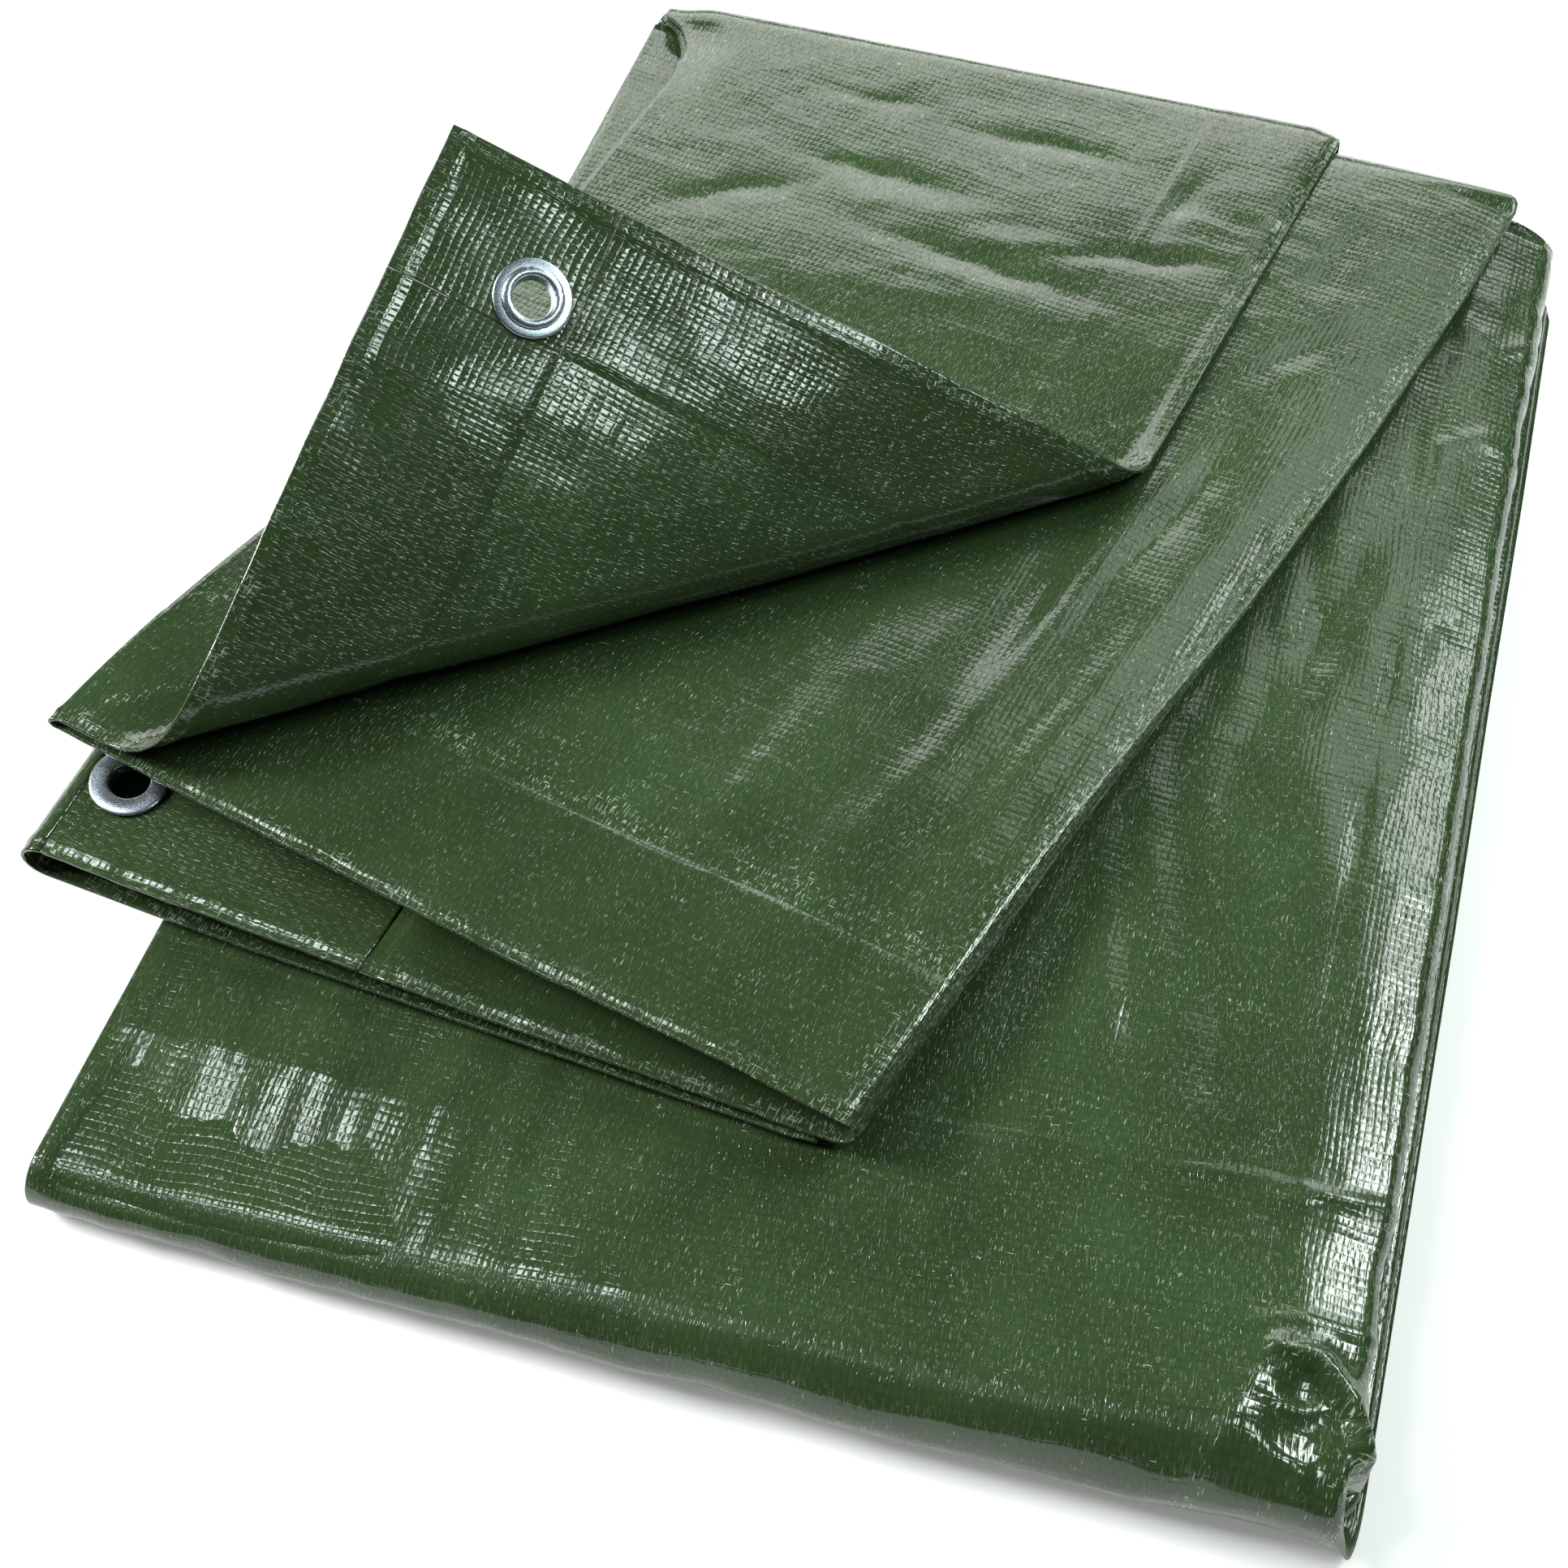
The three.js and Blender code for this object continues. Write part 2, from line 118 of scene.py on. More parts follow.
studio = {
    "floorSize": 14,
    "floorTints": ("#f4f4f4", "#f7f7f7"),
    "tableGlow": 0.2,
    "worldStrength": 0.06,
    "lamps": [
        # name, place, looks at, width, height, watts, colour
        ("backPanel", (-0.5, 1.9, 0.96), (0.0, 0.1, 0.2), 2.8, 1.15, 42, "#ffffff"),
        ("leftKey", (-1.7, -0.3, 1.25), (0.0, 0.0, 0.0), 0.6, 0.6, 56, "#ffffff"),
        ("leftGlint", (-0.8, 0.0, 1.75), (0.0, 0.0, 0.0), 0.36, 0.26, 5.5, "#f2fffb"),
        ("rightStrip", (0.76, 0.62, 1.06), (0.0, 0.46, 0.0), 0.9, 0.26, 7.5, "#f4fff9"),
        ("shoulderGlint", (0.74, 0.36, 1.03), (0.0, 0.2, 0.0), 0.36, 0.26, 4.5, "#f4fff9"),
        ("overPanel", (0.4, 1.38, 1.6), (0.0, 0.0, 0.0), 0.5, 0.5, 2.0, "#f2fff6"),
        ("flapGlint", (1.3, -0.28, 1.95), (0.0, 0.0, 0.1), 0.34, 0.3, 6.5, "#e9fff6"),
        ("highFill", (-0.9, -0.7, 3.0), (0.0, 0.0, 0.0), 1.8, 1.8, 5, "#ffffff"),
    ],
}


def addLamp(name, place, target, width, height, watts, colour):
    data = bpy.data.lights.new(name, "AREA")
    data.color = hexColour(colour)[:3]
    data.shape = "RECTANGLE"
    data.size = width
    data.size_y = height
    data.energy = watts
    lamp = bpy.data.objects.new(name, data)
    lamp.location = place
    aim = Vector(target) - Vector(place)
    lamp.rotation_euler = aim.to_track_quat("-Z", "Y").to_euler()
    bpy.context.scene.collection.objects.link(lamp)


for lamp in studio["lamps"]:
    addLamp(*lamp)

world = bpy.data.worlds.new("studioWorld")
world.use_nodes = True
world.node_tree.nodes["Background"].inputs[0].default_value = (1, 1, 1, 1)
world.node_tree.nodes["Background"].inputs[1].default_value = studio["worldStrength"]
bpy.context.scene.world = world
bpy.context.scene.view_settings.view_transform = "Standard"
print("camera and lamps placed")


def addNode(tree, kind, settings=None, inputs=None):
    # one node with its properties set, and each input given a value or a socket to link
    node = tree.nodes.new(kind)
    for name, value in (settings or {}).items():
        setattr(node, name, value)
    for key, value in (inputs or {}).items():
        if isinstance(value, bpy.types.NodeSocket):
            tree.links.new(value, node.inputs[key])
        else:
            node.inputs[key].default_value = value
    return node


def startMaterial(name):
    material = bpy.data.materials.new(name)
    material.use_nodes = True
    tree = material.node_tree
    return material, tree, tree.nodes["Principled BSDF"]


laminate = {
    "tapeAcross": 1.8,  # mm between tapes that run along the packet
    "tapeAlong": 2.45,  # mm between tapes that run across it
    "creaseSize": 34,  # mm, and shorter along the packet
    # heights in mm
    "creaseRelief": 0.1,
    "filmRelief": 0.4,
    "tapeRelief": 0.055,
    "slubRelief": 0.075,
    "greenDeep": "#202e18",
    "greenMid": "#3a502e",
    "greenDoubled": "#28331c",
    # a pale colour painted on in dashes as highlight, standing in for the film's glints, and how
    # much of it shows
    "paintedGlintColour": "#a4b5a2",
    "gloss": (0.07, 0.15),
    "slubRange": (0.62, 0.78),
    "paintedGlintRange": (0.99, 1.07),
    "paintedGlintMost": 0.66,
    "maskedGlintGain": 0.15,
    "doubledMost": 0.25,
    # bumps in 100 mm of cloth, across and along, and their detail
    "noises": {
        "wander": (4, 2.5, 1),
        "warpHeight": (70, 2.0, 1),
        "weftHeight": (2.0, 50, 1),
        "slubPlace": (210, 32, 0),  # 0.4 mm wide and about 3 mm long
        "filmBroad": (3.75, 2.1875, 3),
        "filmFine": (19.375, 10.625, 2),
        "mottle": (3, 2, 3),
        "dashAcross": (34, 210, 0),
        "dashAlong": (250, 38, 0),
        "patches": (9, 7, 2),
        "dullness": (8.125, 5.625, 3),
    },
}
hemTints = {"deep": "#24331a", "mid": "#3d5431", "reliefScale": 0.6}


def wovenPolyethylene(name, deep, mid, reliefScale=1.0):
    # Polyethylene tape cloth with an extruded film on both faces: a wet-looking gloss that
    # breaks into short bright dashes on each tape, over a deep green.
    material, tree, shader = startMaterial(name)
    uv = addNode(tree, "ShaderNodeUVMap", {"uv_map": "clothMm"}).outputs[0]
    split = addNode(tree, "ShaderNodeSeparateXYZ", inputs={0: uv})
    parts = {"across": split.outputs[0], "along": split.outputs[1]}  # 1 unit is 100 mm of cloth
    # the mesh says where pale highlight dashes are painted on, and where a hem is doubled
    for title in ("paintedGlintMask", "doubled"):
        attribute = addNode(tree, "ShaderNodeAttribute", {"attribute_name": title})
        parts[title] = attribute.outputs["Fac"]
    # noises stretched along the tapes, so that one tape differs from the next
    for title, (perAcross, perAlong, detail) in laminate["noises"].items():
        place = addNode(
            tree, "ShaderNodeMapping", inputs={0: uv, "Scale": (perAcross, perAlong, 1)}
        ).outputs[0]
        parts[title] = addNode(
            tree,
            "ShaderNodeTexNoise",
            {"noise_dimensions": "2D"},
            {"Vector": place, "Scale": 1.0, "Detail": detail},
        ).outputs[0]

    # each row gives a result, its operation and the one or two values that go in
    for title, operation, *values in (
        ("drift", "MULTIPLY", "wander", 1.6),
        ("countAcross", "MULTIPLY", "across", 100 / laminate["tapeAcross"]),
        ("countAlong", "MULTIPLY", "along", 100 / laminate["tapeAlong"]),
        ("tapesAcross", "ADD", "countAcross", "drift"),
        ("tapesAlong", "ADD", "countAlong", "drift"),
        ("turnAcross", "MULTIPLY", "tapesAcross", pi),
        ("turnAlong", "MULTIPLY", "tapesAlong", pi),
        ("waveAcross", "SINE", "turnAcross"),
        ("waveAlong", "SINE", "turnAlong"),
        # plain weave: where both waves have the same sign, the tape along the packet is on top
        ("crossing", "MULTIPLY", "waveAcross", "waveAlong"),
        ("over", "GREATER_THAN", "crossing", 0.0),
        ("bodyAcross", "ABSOLUTE", "waveAcross"),
        ("bodyAlong", "ABSOLUTE", "waveAlong"),
        ("warpWidth", "POWER", "bodyAcross", 0.35),
        ("warpLength", "POWER", "bodyAlong", 0.5),
        ("weftLength", "POWER", "bodyAcross", 0.7),
        ("weftWidth", "POWER", "bodyAlong", 0.45),
        ("warpTop", "MULTIPLY", "warpWidth", "warpLength"),
        ("weftTop", "MULTIPLY", "weftLength", "weftWidth"),
        ("warpRise", "ADD", "warpHeight", 0.3),
        ("weftRise", "ADD", "weftHeight", 0.1),
        ("warp", "MULTIPLY", "warpTop", "warpRise"),
        ("weft", "MULTIPLY", "weftTop", "weftRise"),
        ("warpLead", "SUBTRACT", "warp", "weft"),
        ("topTape", "MULTIPLY", "over", "warpLead"),
        ("weave", "ADD", "weft", "topTape"),
        ("filmRough", "MULTIPLY", "filmFine", 0.22),
        ("film", "ADD", "filmBroad", "filmRough"),
        ("weaveShade", "MULTIPLY", "weave", 0.35),
        ("mottleShade", "MULTIPLY", "mottle", 0.7),
        ("shade", "ADD", "weaveShade", "mottleShade"),
        # painted highlight: pale dashes, about 0.4 mm wide and 3 mm long, both ways of the
        # cloth, stand in for glints off the tape crowns, and many more are painted along hem edges
        # and folds
        ("fewerAcross", "MULTIPLY", "dashAcross", 0.93),
        ("dashes", "MAXIMUM", "fewerAcross", "dashAlong"),
        ("patchShare", "MULTIPLY", "patches", 0.3),
        ("patchedDashes", "ADD", "dashes", "patchShare"),
        ("maskedGlintShare", "MULTIPLY", "paintedGlintMask", laminate["maskedGlintGain"]),
        ("allDashes", "ADD", "patchedDashes", "maskedGlintShare"),
        # a hem's second layer stops the light that comes through one layer, and looks browner
        ("hemShare", "MULTIPLY", "doubled", laminate["doubledMost"]),
    ):
        inputs = {i: parts.get(value, value) for i, value in enumerate(values)}
        parts[title] = addNode(
            tree, "ShaderNodeMath", {"operation": operation}, inputs
        ).outputs[0]
    # slubs are short raised tape edges that flash white; the same smooth step turns the dashes into
    # painted highlight
    for title, source, (start, end), most in (
        ("slubs", "slubPlace", laminate["slubRange"], 1.0),
        ("paintedGlints", "allDashes", laminate["paintedGlintRange"], laminate["paintedGlintMost"]),
    ):
        parts[title] = addNode(
            tree,
            "ShaderNodeMapRange",
            {"interpolation_type": "SMOOTHSTEP"},
            {0: parts[source], 1: start, 2: end, 3: 0.0, 4: most},
        ).outputs[0]

    # thin folded-in lines, most of them square to the packet, that wander over the film
    creaseScale = (55 / laminate["creaseSize"], 140 / laminate["creaseSize"], 1)
    lines = addNode(tree, "ShaderNodeMapping", inputs={0: uv, "Scale": creaseScale})
    parts["ridges"] = addNode(
        tree,
        "ShaderNodeTexNoise",
        {"noise_dimensions": "2D", "noise_type": "RIDGED_MULTIFRACTAL"},
        {
            "Vector": lines.outputs[0],
            "Scale": 1.0,
            "Detail": 2.5,
            "Lacunarity": 2.3,
            "Offset": 0.9,
            "Gain": 1.6,
        },
    ).outputs[0]
    below = {}
    for title, relief in (
        ("ridges", laminate["creaseRelief"] * reliefScale),
        ("film", laminate["filmRelief"] * reliefScale),
        ("weave", laminate["tapeRelief"]),
        ("slubs", laminate["slubRelief"]),
    ):
        inputs = {"Strength": 1.0, "Distance": relief * mm, "Height": parts[title], **below}
        below = {"Normal": addNode(tree, "ShaderNodeBump", inputs=inputs).outputs[0]}
    # the green takes the weave's and mottle's tone, then the pale painted highlight dashes, then the
    # doubled hem's browner tone
    tint = hexColour(deep)
    for title, colour in (
        ("shade", mid),
        ("paintedGlints", laminate["paintedGlintColour"]),
        ("hemShare", laminate["greenDoubled"]),
    ):
        inputs = {0: parts[title], 6: tint, 7: hexColour(colour)}
        tint = addNode(tree, "ShaderNodeMix", {"data_type": "RGBA"}, inputs).outputs[2]
    glossiest, dullest = laminate["gloss"]
    inputs = {0: parts["dullness"], 1: 0.3, 2: 0.7, 3: glossiest, 4: dullest}
    gloss = addNode(tree, "ShaderNodeMapRange", inputs=inputs).outputs[0]
    tree.links.new(tint, shader.inputs["Base Color"])
    tree.links.new(gloss, shader.inputs["Roughness"])
    tree.links.new(below["Normal"], shader.inputs["Normal"])
    shader.inputs["IOR"].default_value = 1.51
    return material


laminateMaterial = wovenPolyethylene(
    "laminatedWovenPolyethylene", laminate["greenDeep"], laminate["greenMid"]
)
hemMaterial = wovenPolyethylene("weldedPolyethyleneHem", **hemTints)

aluminium = {"grey": "#aeb7c2", "grit": 2600, "gritRelief": 0.05, "gloss": (0.2, 0.38)}


def pressedAluminium():
    # Pressed and tumbled aluminium: a cool satin grey, grained too finely to see one by one
    material, tree, shader = startMaterial("pressedAluminium")
    place = addNode(tree, "ShaderNodeTexCoord")
    grain = addNode(
        tree,
        "ShaderNodeTexNoise",
        inputs={"Vector": place.outputs["Object"], "Scale": aluminium["grit"], "Detail": 3},
    )
    inputs = {"Strength": 0.35, "Distance": aluminium["gritRelief"] * mm, "Height": grain.outputs[0]}
    bump = addNode(tree, "ShaderNodeBump", inputs=inputs)
    glossiest, dullest = aluminium["gloss"]
    inputs = {0: grain.outputs[0], 1: 0.3, 2: 0.7, 3: glossiest, 4: dullest}
    rough = addNode(tree, "ShaderNodeMapRange", inputs=inputs)
    shader.inputs["Base Color"].default_value = hexColour(aluminium["grey"])
    shader.inputs["Metallic"].default_value = 1.0
    tree.links.new(rough.outputs[0], shader.inputs["Roughness"])
    tree.links.new(bump.outputs[0], shader.inputs["Normal"])
    return material


metalMaterial = pressedAluminium()


def paintedFloor():
    # Matt white studio paint with a faint unevenness
    material, tree, shader = startMaterial("mattWhiteStudioPaint")
    place = addNode(tree, "ShaderNodeTexCoord")
    inputs = {"Vector": place.outputs["Object"], "Scale": 3, "Detail": 2}
    cloud = addNode(tree, "ShaderNodeTexNoise", inputs=inputs)
    darker, lighter = (hexColour(code) for code in studio["floorTints"])
    inputs = {0: cloud.outputs[0], 6: darker, 7: lighter}
    tint = addNode(tree, "ShaderNodeMix", {"data_type": "RGBA"}, inputs)
    tree.links.new(tint.outputs[2], shader.inputs["Base Color"])
    shader.inputs["Roughness"].default_value = 0.9
    shader.inputs["Specular IOR Level"].default_value = 0.1
    # the table glows a little from within, so that no dark floor frames the packet
    shader.inputs["Emission Color"].default_value = (1, 1, 1, 1)
    shader.inputs["Emission Strength"].default_value = studio["tableGlow"]
    return material


half = studio["floorSize"] / 2
floorMesh = bpy.data.meshes.new("studioFloor")
floorCorners = [(-half, -half, 0), (half, -half, 0), (half, half, 0), (-half, half, 0)]
floorMesh.from_pydata(floorCorners, [], [(0, 1, 2, 3)])
floorMesh.materials.append(paintedFloor())
floor = bpy.data.objects.new("studioFloor", floorMesh)
bpy.context.scene.collection.objects.link(floor)
print("materials ready")

# The packet's legs lie back and forth on each other. Levels count plies from the floor.
legs = {
    "tucked": {"level": 4, "step": 1, "left": -164, "rights": (120, 148, 148, 130), "edge": 150},
    "bottom": {"level": 3, "step": -1, "left": -171, "rights": (140, 175, 175, 146), "edge": 179},
    "top": {"level": 8, "step": 1, "left": -170, "rights": (95, 142, 142, 145), "edge": 172},
    "stripLevel": 15,
    "shoulderLevel": 11,
    "shoulderFoot": 13,
    "shoulderShare": (0, 0.3, 0.6, 0.72, 0.82, 0.92, 1),
    "shoulderOut": (0, 0.45, 0.86, 0.95, 0.985, 1, 1),
    "shoulderUp": (1, 0.94, 0.85, 0.74, 0.5, 0.26, 0),
    "tuckedSetback": 8,
    "reach": {"tucked": 0.5, "front": 2.5, "top": 3.5},
    "topFoldSlack": 2,
    "sideFoldShare": 0.55,
}
strip = {
    "v": (0, 0.02, 0.05, 0.12, 0.28, 0.5, 0.75, 0.88, 1),
    # for each v, where the left fold of the upper and lower panels and the right fold lie
    "highLeft": ((-151, 225), (-143, 219), (-137.5, 209), (-138, 187), (-150, 127),
                 (-164, 44), (-182, -50), (-197, -100), (-209, -141)),
    "lowLeft": ((-152, 225), (-144, 218), (-139, 207), (-140, 182), (-152, 116),
                (-168, 32), (-186, -70), (-197, -125), (-202, -173)),
    "foldBC": ((154, 200), (152.3, 193), (149.8, 182.5), (144, 158), (123, 84),
               (96, 0), (61, -99), (44, -151), (30, -193)),
    "insetD": 4,
    "creaseBandD": 8,
    # for each fold: how far it bulges at the back and at the front, and from which v it grows
    "bulge": ((2.2, 2.2, 0), (2.2, 6, 0.5), (2.2, 7, 0.3)),
    "liftFromHem": (-30, 0, 80, 150, 230),
    "liftB": (14, 14, 14.5, 20, 25),
    "liftC": (1.5, 2, 4.5, 10, 16),
    "liftD": (0.8, 0.8, 1, 2, 4),
    "liftReach": 260,
    "liftShareA": 1.08,
    "length": 393,
}
flap = {
    "corner": (14.8, -185),
    "sideHem": (0.195, 0.981),
    "endHem": (-0.981, 0.195),
    "stripBack": 405,
    "foldOnSideHem": 244,
    "foldOnEndHem": 214,
    "startOnEndHem": 228,
    "rollAtSideHem": 8,
    "rollAtEndHem": 15,
    "riseAtRoll": 46,
    "riseAtTip": 36,
    "bendShare": 0.55,
}
hems = {
    "side": 44,
    "end": 52,
    "gap": 0.3,
    "step": 0.5,
    "cordFromEdge": 4.4,
    "cordWidth": 1.5,
    "cordHeight": 0.8,
    "hole": 7.2,
    "cornerEyelet": (34, 39),
    "lower": {"span": 236, "farU": 0.42, "hemV": 0.88, "depth": 50, "eyelet": (30, 11)},
}


def pitchAt(x, y):
    across = np.clip((x - packet["left"]) / (legs["top"]["rights"][3] - packet["left"]), 0, 1)
    along = np.clip((y - packet["front"]) / packet["length"], 0, 1)
    return lerp(lerp(*packet["pitchFront"], across), lerp(*packet["pitchBack"], across), along)


def stackHeight(level, x, y):
    return packet["lowestPly"] + level * pitchAt(x, y)


def frontFoldCentre(x):
    # far enough back that the outermost of the four plies turns at the outline
    depth = (legs["reach"]["front"] + 3) * pitchAt(x, packet["front"]) + packet["lowestPly"]
    return np.interp(x, packet["outlineX"], packet["outlineFront"]) + depth


def backFoldCentre(x):
    pitch = pitchAt(x, packet["front"] + packet["length"])
    depth = legs["reach"]["top"] * pitch + legs["topFoldSlack"] + packet["lowestPly"]
    return np.interp(x, packet["outlineX"], packet["outlineBack"]) - depth


def columnSet(shares, turns):
    # one entry per column from panel A's hem to panel D's edge: panel, order, u, side, turn
    rows = []
    for panel, name in enumerate("ABCD"):
        for u in shares[name]:
            rows.append((panel, panel, u, 0, 0))
        if panel < 3:
            side = -1 if panel != 1 else 1
            steps = turns[panel]
            for i in range(1, steps):
                turn = pi * i / steps
                rows.append((panel, panel + (1 - cos(turn)) / 2, 0, side, turn))
    for u in shares["shoulder"]:
        rows.append((4, 3, u, 0, 0))
    table = np.array(rows, float)
    return {"panel": table[:, 0].astype(int), "order": table[:, 1], "u": table[:, 2],
            "side": table[:, 3], "turn": table[:, 4]}


def legPoints(name, cols, yOf):
    leg = legs[name]
    shoulder = cols["panel"] == 4
    share = np.clip((yOf(leg["left"]) - packet["front"]) / packet["length"], 0, 1)
    left = leg["left"] + packet["leftDrift"] * share
    rights = np.array(leg["rights"] + (leg["edge"],))[cols["panel"]]
    x = lerp(left, rights, cols["u"])
    bulge = legs["sideFoldShare"] * pitchAt(cols["side"] * packet["right"], yOf(0.0))
    foldX = np.where(cols["side"] < 0, left, leg["rights"][1])
    foldX = foldX + cols["side"] * bulge * np.sin(cols["turn"])
    x = np.where(cols["side"] != 0, foldX, x)
    x = np.where(shoulder, lerp(leg["rights"][3], leg["edge"], cols["u"]), x)
    stray = ragged(yOf(x), leg["level"] + 0.5)
    x = x + stray * np.where(shoulder, cols["u"], cols["side"] > 0)
    y = yOf(x)
    z = stackHeight(leg["level"] + leg["step"] * cols["order"], x, y)
    if name == "top":
        # the shoulder slopes off gently from its crease, then drops at its outer edge
        out = np.interp(cols["u"], legs["shoulderShare"], legs["shoulderOut"])
        up = np.interp(cols["u"], legs["shoulderShare"], legs["shoulderUp"])
        high = stackHeight(legs["shoulderLevel"], leg["rights"][3], y)
        x = np.where(shoulder, lerp(leg["rights"][3], leg["edge"], out) + stray * out, x)
        y = np.where(shoulder, yOf(x), y)
        z = np.where(shoulder, lerp(legs["shoulderFoot"], high, up), z)
    return np.stack([x, y, z], -1)


def ragged(y, seed):
    # how far a fold's edge strays along the packet's right side, most of it toward the back
    stray = 1.2 * roughField(y, seed, 26, 1, seed) + 0.9 * creaseField(y, 0, 11, 1, seed)
    return stray * (0.35 + 0.65 * smooth((y - 60) / 110))


def hemDistances(x, y):
    cx, cy = flap["corner"]
    ex, ey = flap["endHem"]
    sx, sy = flap["sideHem"]
    return (x - cx) * ex + (y - cy) * ey, (x - cx) * sx + (y - cy) * sy


def cornerPlace(a, b):
    x = flap["corner"][0] + flap["endHem"][0] * a + flap["sideHem"][0] * b
    y = flap["corner"][1] + flap["endHem"][1] * a + flap["sideHem"][1] * b
    return x, y


def stripHeight(order, x, y):
    a, b = hemDistances(x, y)
    fall = smooth(1 - b / strip["liftReach"])
    names = ("liftB", "liftC", "liftD")
    lifts = [np.interp(a, strip["liftFromHem"], strip[name]) * fall for name in names]
    steps = np.stack(np.broadcast_arrays(lifts[0] * strip["liftShareA"], *lifts))
    low = np.clip(np.floor(order), 0, 2).astype(int)
    low = np.broadcast_to(low, steps.shape[1:])
    below = np.take_along_axis(steps, low[None], 0)[0]
    above = np.take_along_axis(steps, low[None] + 1, 0)[0]
    return stackHeight(legs["stripLevel"] - order, x, y) + lerp(below, above, order - low)


def stripEdge(name, v):
    table = np.array(strip[name], float)
    return np.array([np.interp(v, strip["v"], table[:, 0]), np.interp(v, strip["v"], table[:, 1])])


def stripFlat(cols, v):
    high, low, foldBC = (stripEdge(name, v) for name in ("highLeft", "lowLeft", "foldBC"))
    along = lerp(flap["stripBack"], flap["foldOnSideHem"], v)
    sideHem = np.array(cornerPlace(0, along))
    creaseD = foldBC - (strip["insetD"] + strip["creaseBandD"], 0)
    edgeD = foldBC - (strip["insetD"], 0)
    starts = np.array([high, high, low, low, creaseD])[cols["panel"]]
    ends = np.array([sideHem, foldBC, foldBC, creaseD, edgeD])[cols["panel"]]
    place = starts + (ends - starts) * cols["u"][:, None]
    for panel, edge in ((0, high), (1, foldBC), (2, low)):
        back, front, since = strip["bulge"][panel]
        bulge = lerp(back, front, smooth((v - since) / (1 - since)))
        turning = (cols["panel"] == panel) & (cols["side"] != 0)
        place[turning, 0] = edge[0] + cols["side"][turning] * bulge * np.sin(cols["turn"][turning])
        place[turning, 1] = edge[1]
    return place


def stripPoints(cols, v):
    place = stripFlat(cols, v)
    x, y = place[:, 0], place[:, 1]
    return np.stack([x, y, stripHeight(cols["order"], x, y)], -1)


foldStart = np.array(cornerPlace(0, flap["foldOnSideHem"]))
foldEnd = np.array(cornerPlace(flap["foldOnEndHem"], 0))
foldLength = hypot(*(foldEnd - foldStart))
foldLine = (foldEnd - foldStart) / foldLength
towardCorner = np.array([-foldLine[1], foldLine[0]])
cornerDepth = float(np.dot(np.array(flap["corner"]) - foldStart, towardCorner))


def flapPoints(x, y):
    # rolls a flat place of panel A back over the diagonal between the two hems
    base = stripHeight(np.zeros_like(x), x, y)
    along = (x - foldStart[0]) * foldLine[0] + (y - foldStart[1]) * foldLine[1]
    depth = (x - foldStart[0]) * towardCorner[0] + (y - foldStart[1]) * towardCorner[1]
    footX = foldStart[0] + foldLine[0] * along
    footY = foldStart[1] + foldLine[1] * along
    rise0, rise1 = radians(flap["riseAtRoll"]), radians(flap["riseAtTip"])
    radius = lerp(flap["rollAtSideHem"], flap["rollAtEndHem"], np.clip(along / foldLength, 0, 1))
    rollAngle = pi - rise0
    turned = np.clip(depth / radius, 0, rollAngle)
    out = radius * np.sin(turned)
    up = radius * (1 - np.cos(turned))
    past = np.maximum(depth - radius * rollAngle, 0)
    bendLength = (cornerDepth - radius * rollAngle) * flap["bendShare"]
    rate = (rise1 - rise0) / bendLength
    bent = np.minimum(past, bendLength)
    out -= (np.sin(rise0 + rate * bent) - sin(rise0)) / rate + (past - bent) * cos(rise1)
    up += (cos(rise0) - np.cos(rise0 + rate * bent)) / rate + (past - bent) * sin(rise1)
    foot = stripHeight(np.zeros_like(x), footX, footY)
    rolled = np.stack([footX + towardCorner[0] * out, footY + towardCorner[1] * out, foot + up], -1)
    flat = np.stack([x, y, base], -1)
    return np.where((depth > 0)[..., None], rolled, flat)


# relief that the folding leaves in the cloth, in millimetres
wrinkles = {
    "baseSag": 1.6,
    "baseGathers": 1.7,
    "frontRipples": 1.5,
    "frontLeftTilt": 0.13,
    "frontLumps": 1.1,
    "cornerCrush": 1.7,
    "hoodDrop": 3.6,
    "stripSag": 1.1,
    "stripRipples": 1.7,
    "stripDents": 0.3,
    "stripDroop": 3.2,
    "panelTip": 0.035,
    "flapRipples": 1.0,
    # panel A's sharp dents: place, half length, half width, turn in degrees, depth
    "dents": [
        (-50, 158, 24, 4.5, -8, 1.3),
        (-2, 186, 24, 3.2, -4, 1.0),
        (-12, 124, 32, 5.5, -12, 1.4),
        (47, 168, 14, 4.2, 70, 1.0),
        (-100, 138, 18, 4.2, 25, 1.1),
        (38, 138, 22, 3.8, 5, 1.0),
        (-66, 196, 20, 2.5, -3, 0.7),
        (104, 160, 16, 3.5, 75, 0.8),
        (96, 110, 18, 4, 40, 0.9),
        (70, 30, 30, 5, 68, 1.0),
        (48, -60, 34, 5, 70, 1.0),
        (24, -70, 22, 4, 66, 0.8),
    ],
    # long soft hollows of panel D, in the same order
    "baseHollows": [
        (72, -135, 42, 7, 76, 1.5),
        (100, -132, 30, 6, 76, 1.3),
        (117, -130, 20, 5, 88, 0.7),
        (50, -130, 36, 7, 72, 1.4),
        (126, 20, 70, 8, 74, 1.4),
        (8, -215, 24, 12, 30, 0.9),
    ],
    # creases in plan, each a line of points with its height and width
    "creases": [
        (((147, -212), (141, -228), (135, -256)), 1.7, 1.4),
        (((147, -214), (158, -213), (167, -221), (171, -232), (168, -246)), 2.0, 1.8),
        (((160, -240), (158, -246), (163, -254)), 1.6, 1.6),
        (((141, -176), (152, -171), (176, -166)), 0.9, 1.3),
        (((53, -216), (60, -230), (70, -244)), 0.5, 1.0),
        (((136, -212), (150, -205), (176, -203)), 0.8, 1.4),
        (((147, -66), (160, -74), (174, -72)), 0.7, 1.2),
        (((148, 22), (162, 12), (174, 16)), 0.7, 1.2),
        (((146, 92), (158, 100), (174, 96)), 0.9, 1.3),
        (((145, 150), (160, 140), (172, 150)), 0.9, 1.3),
    ],
}


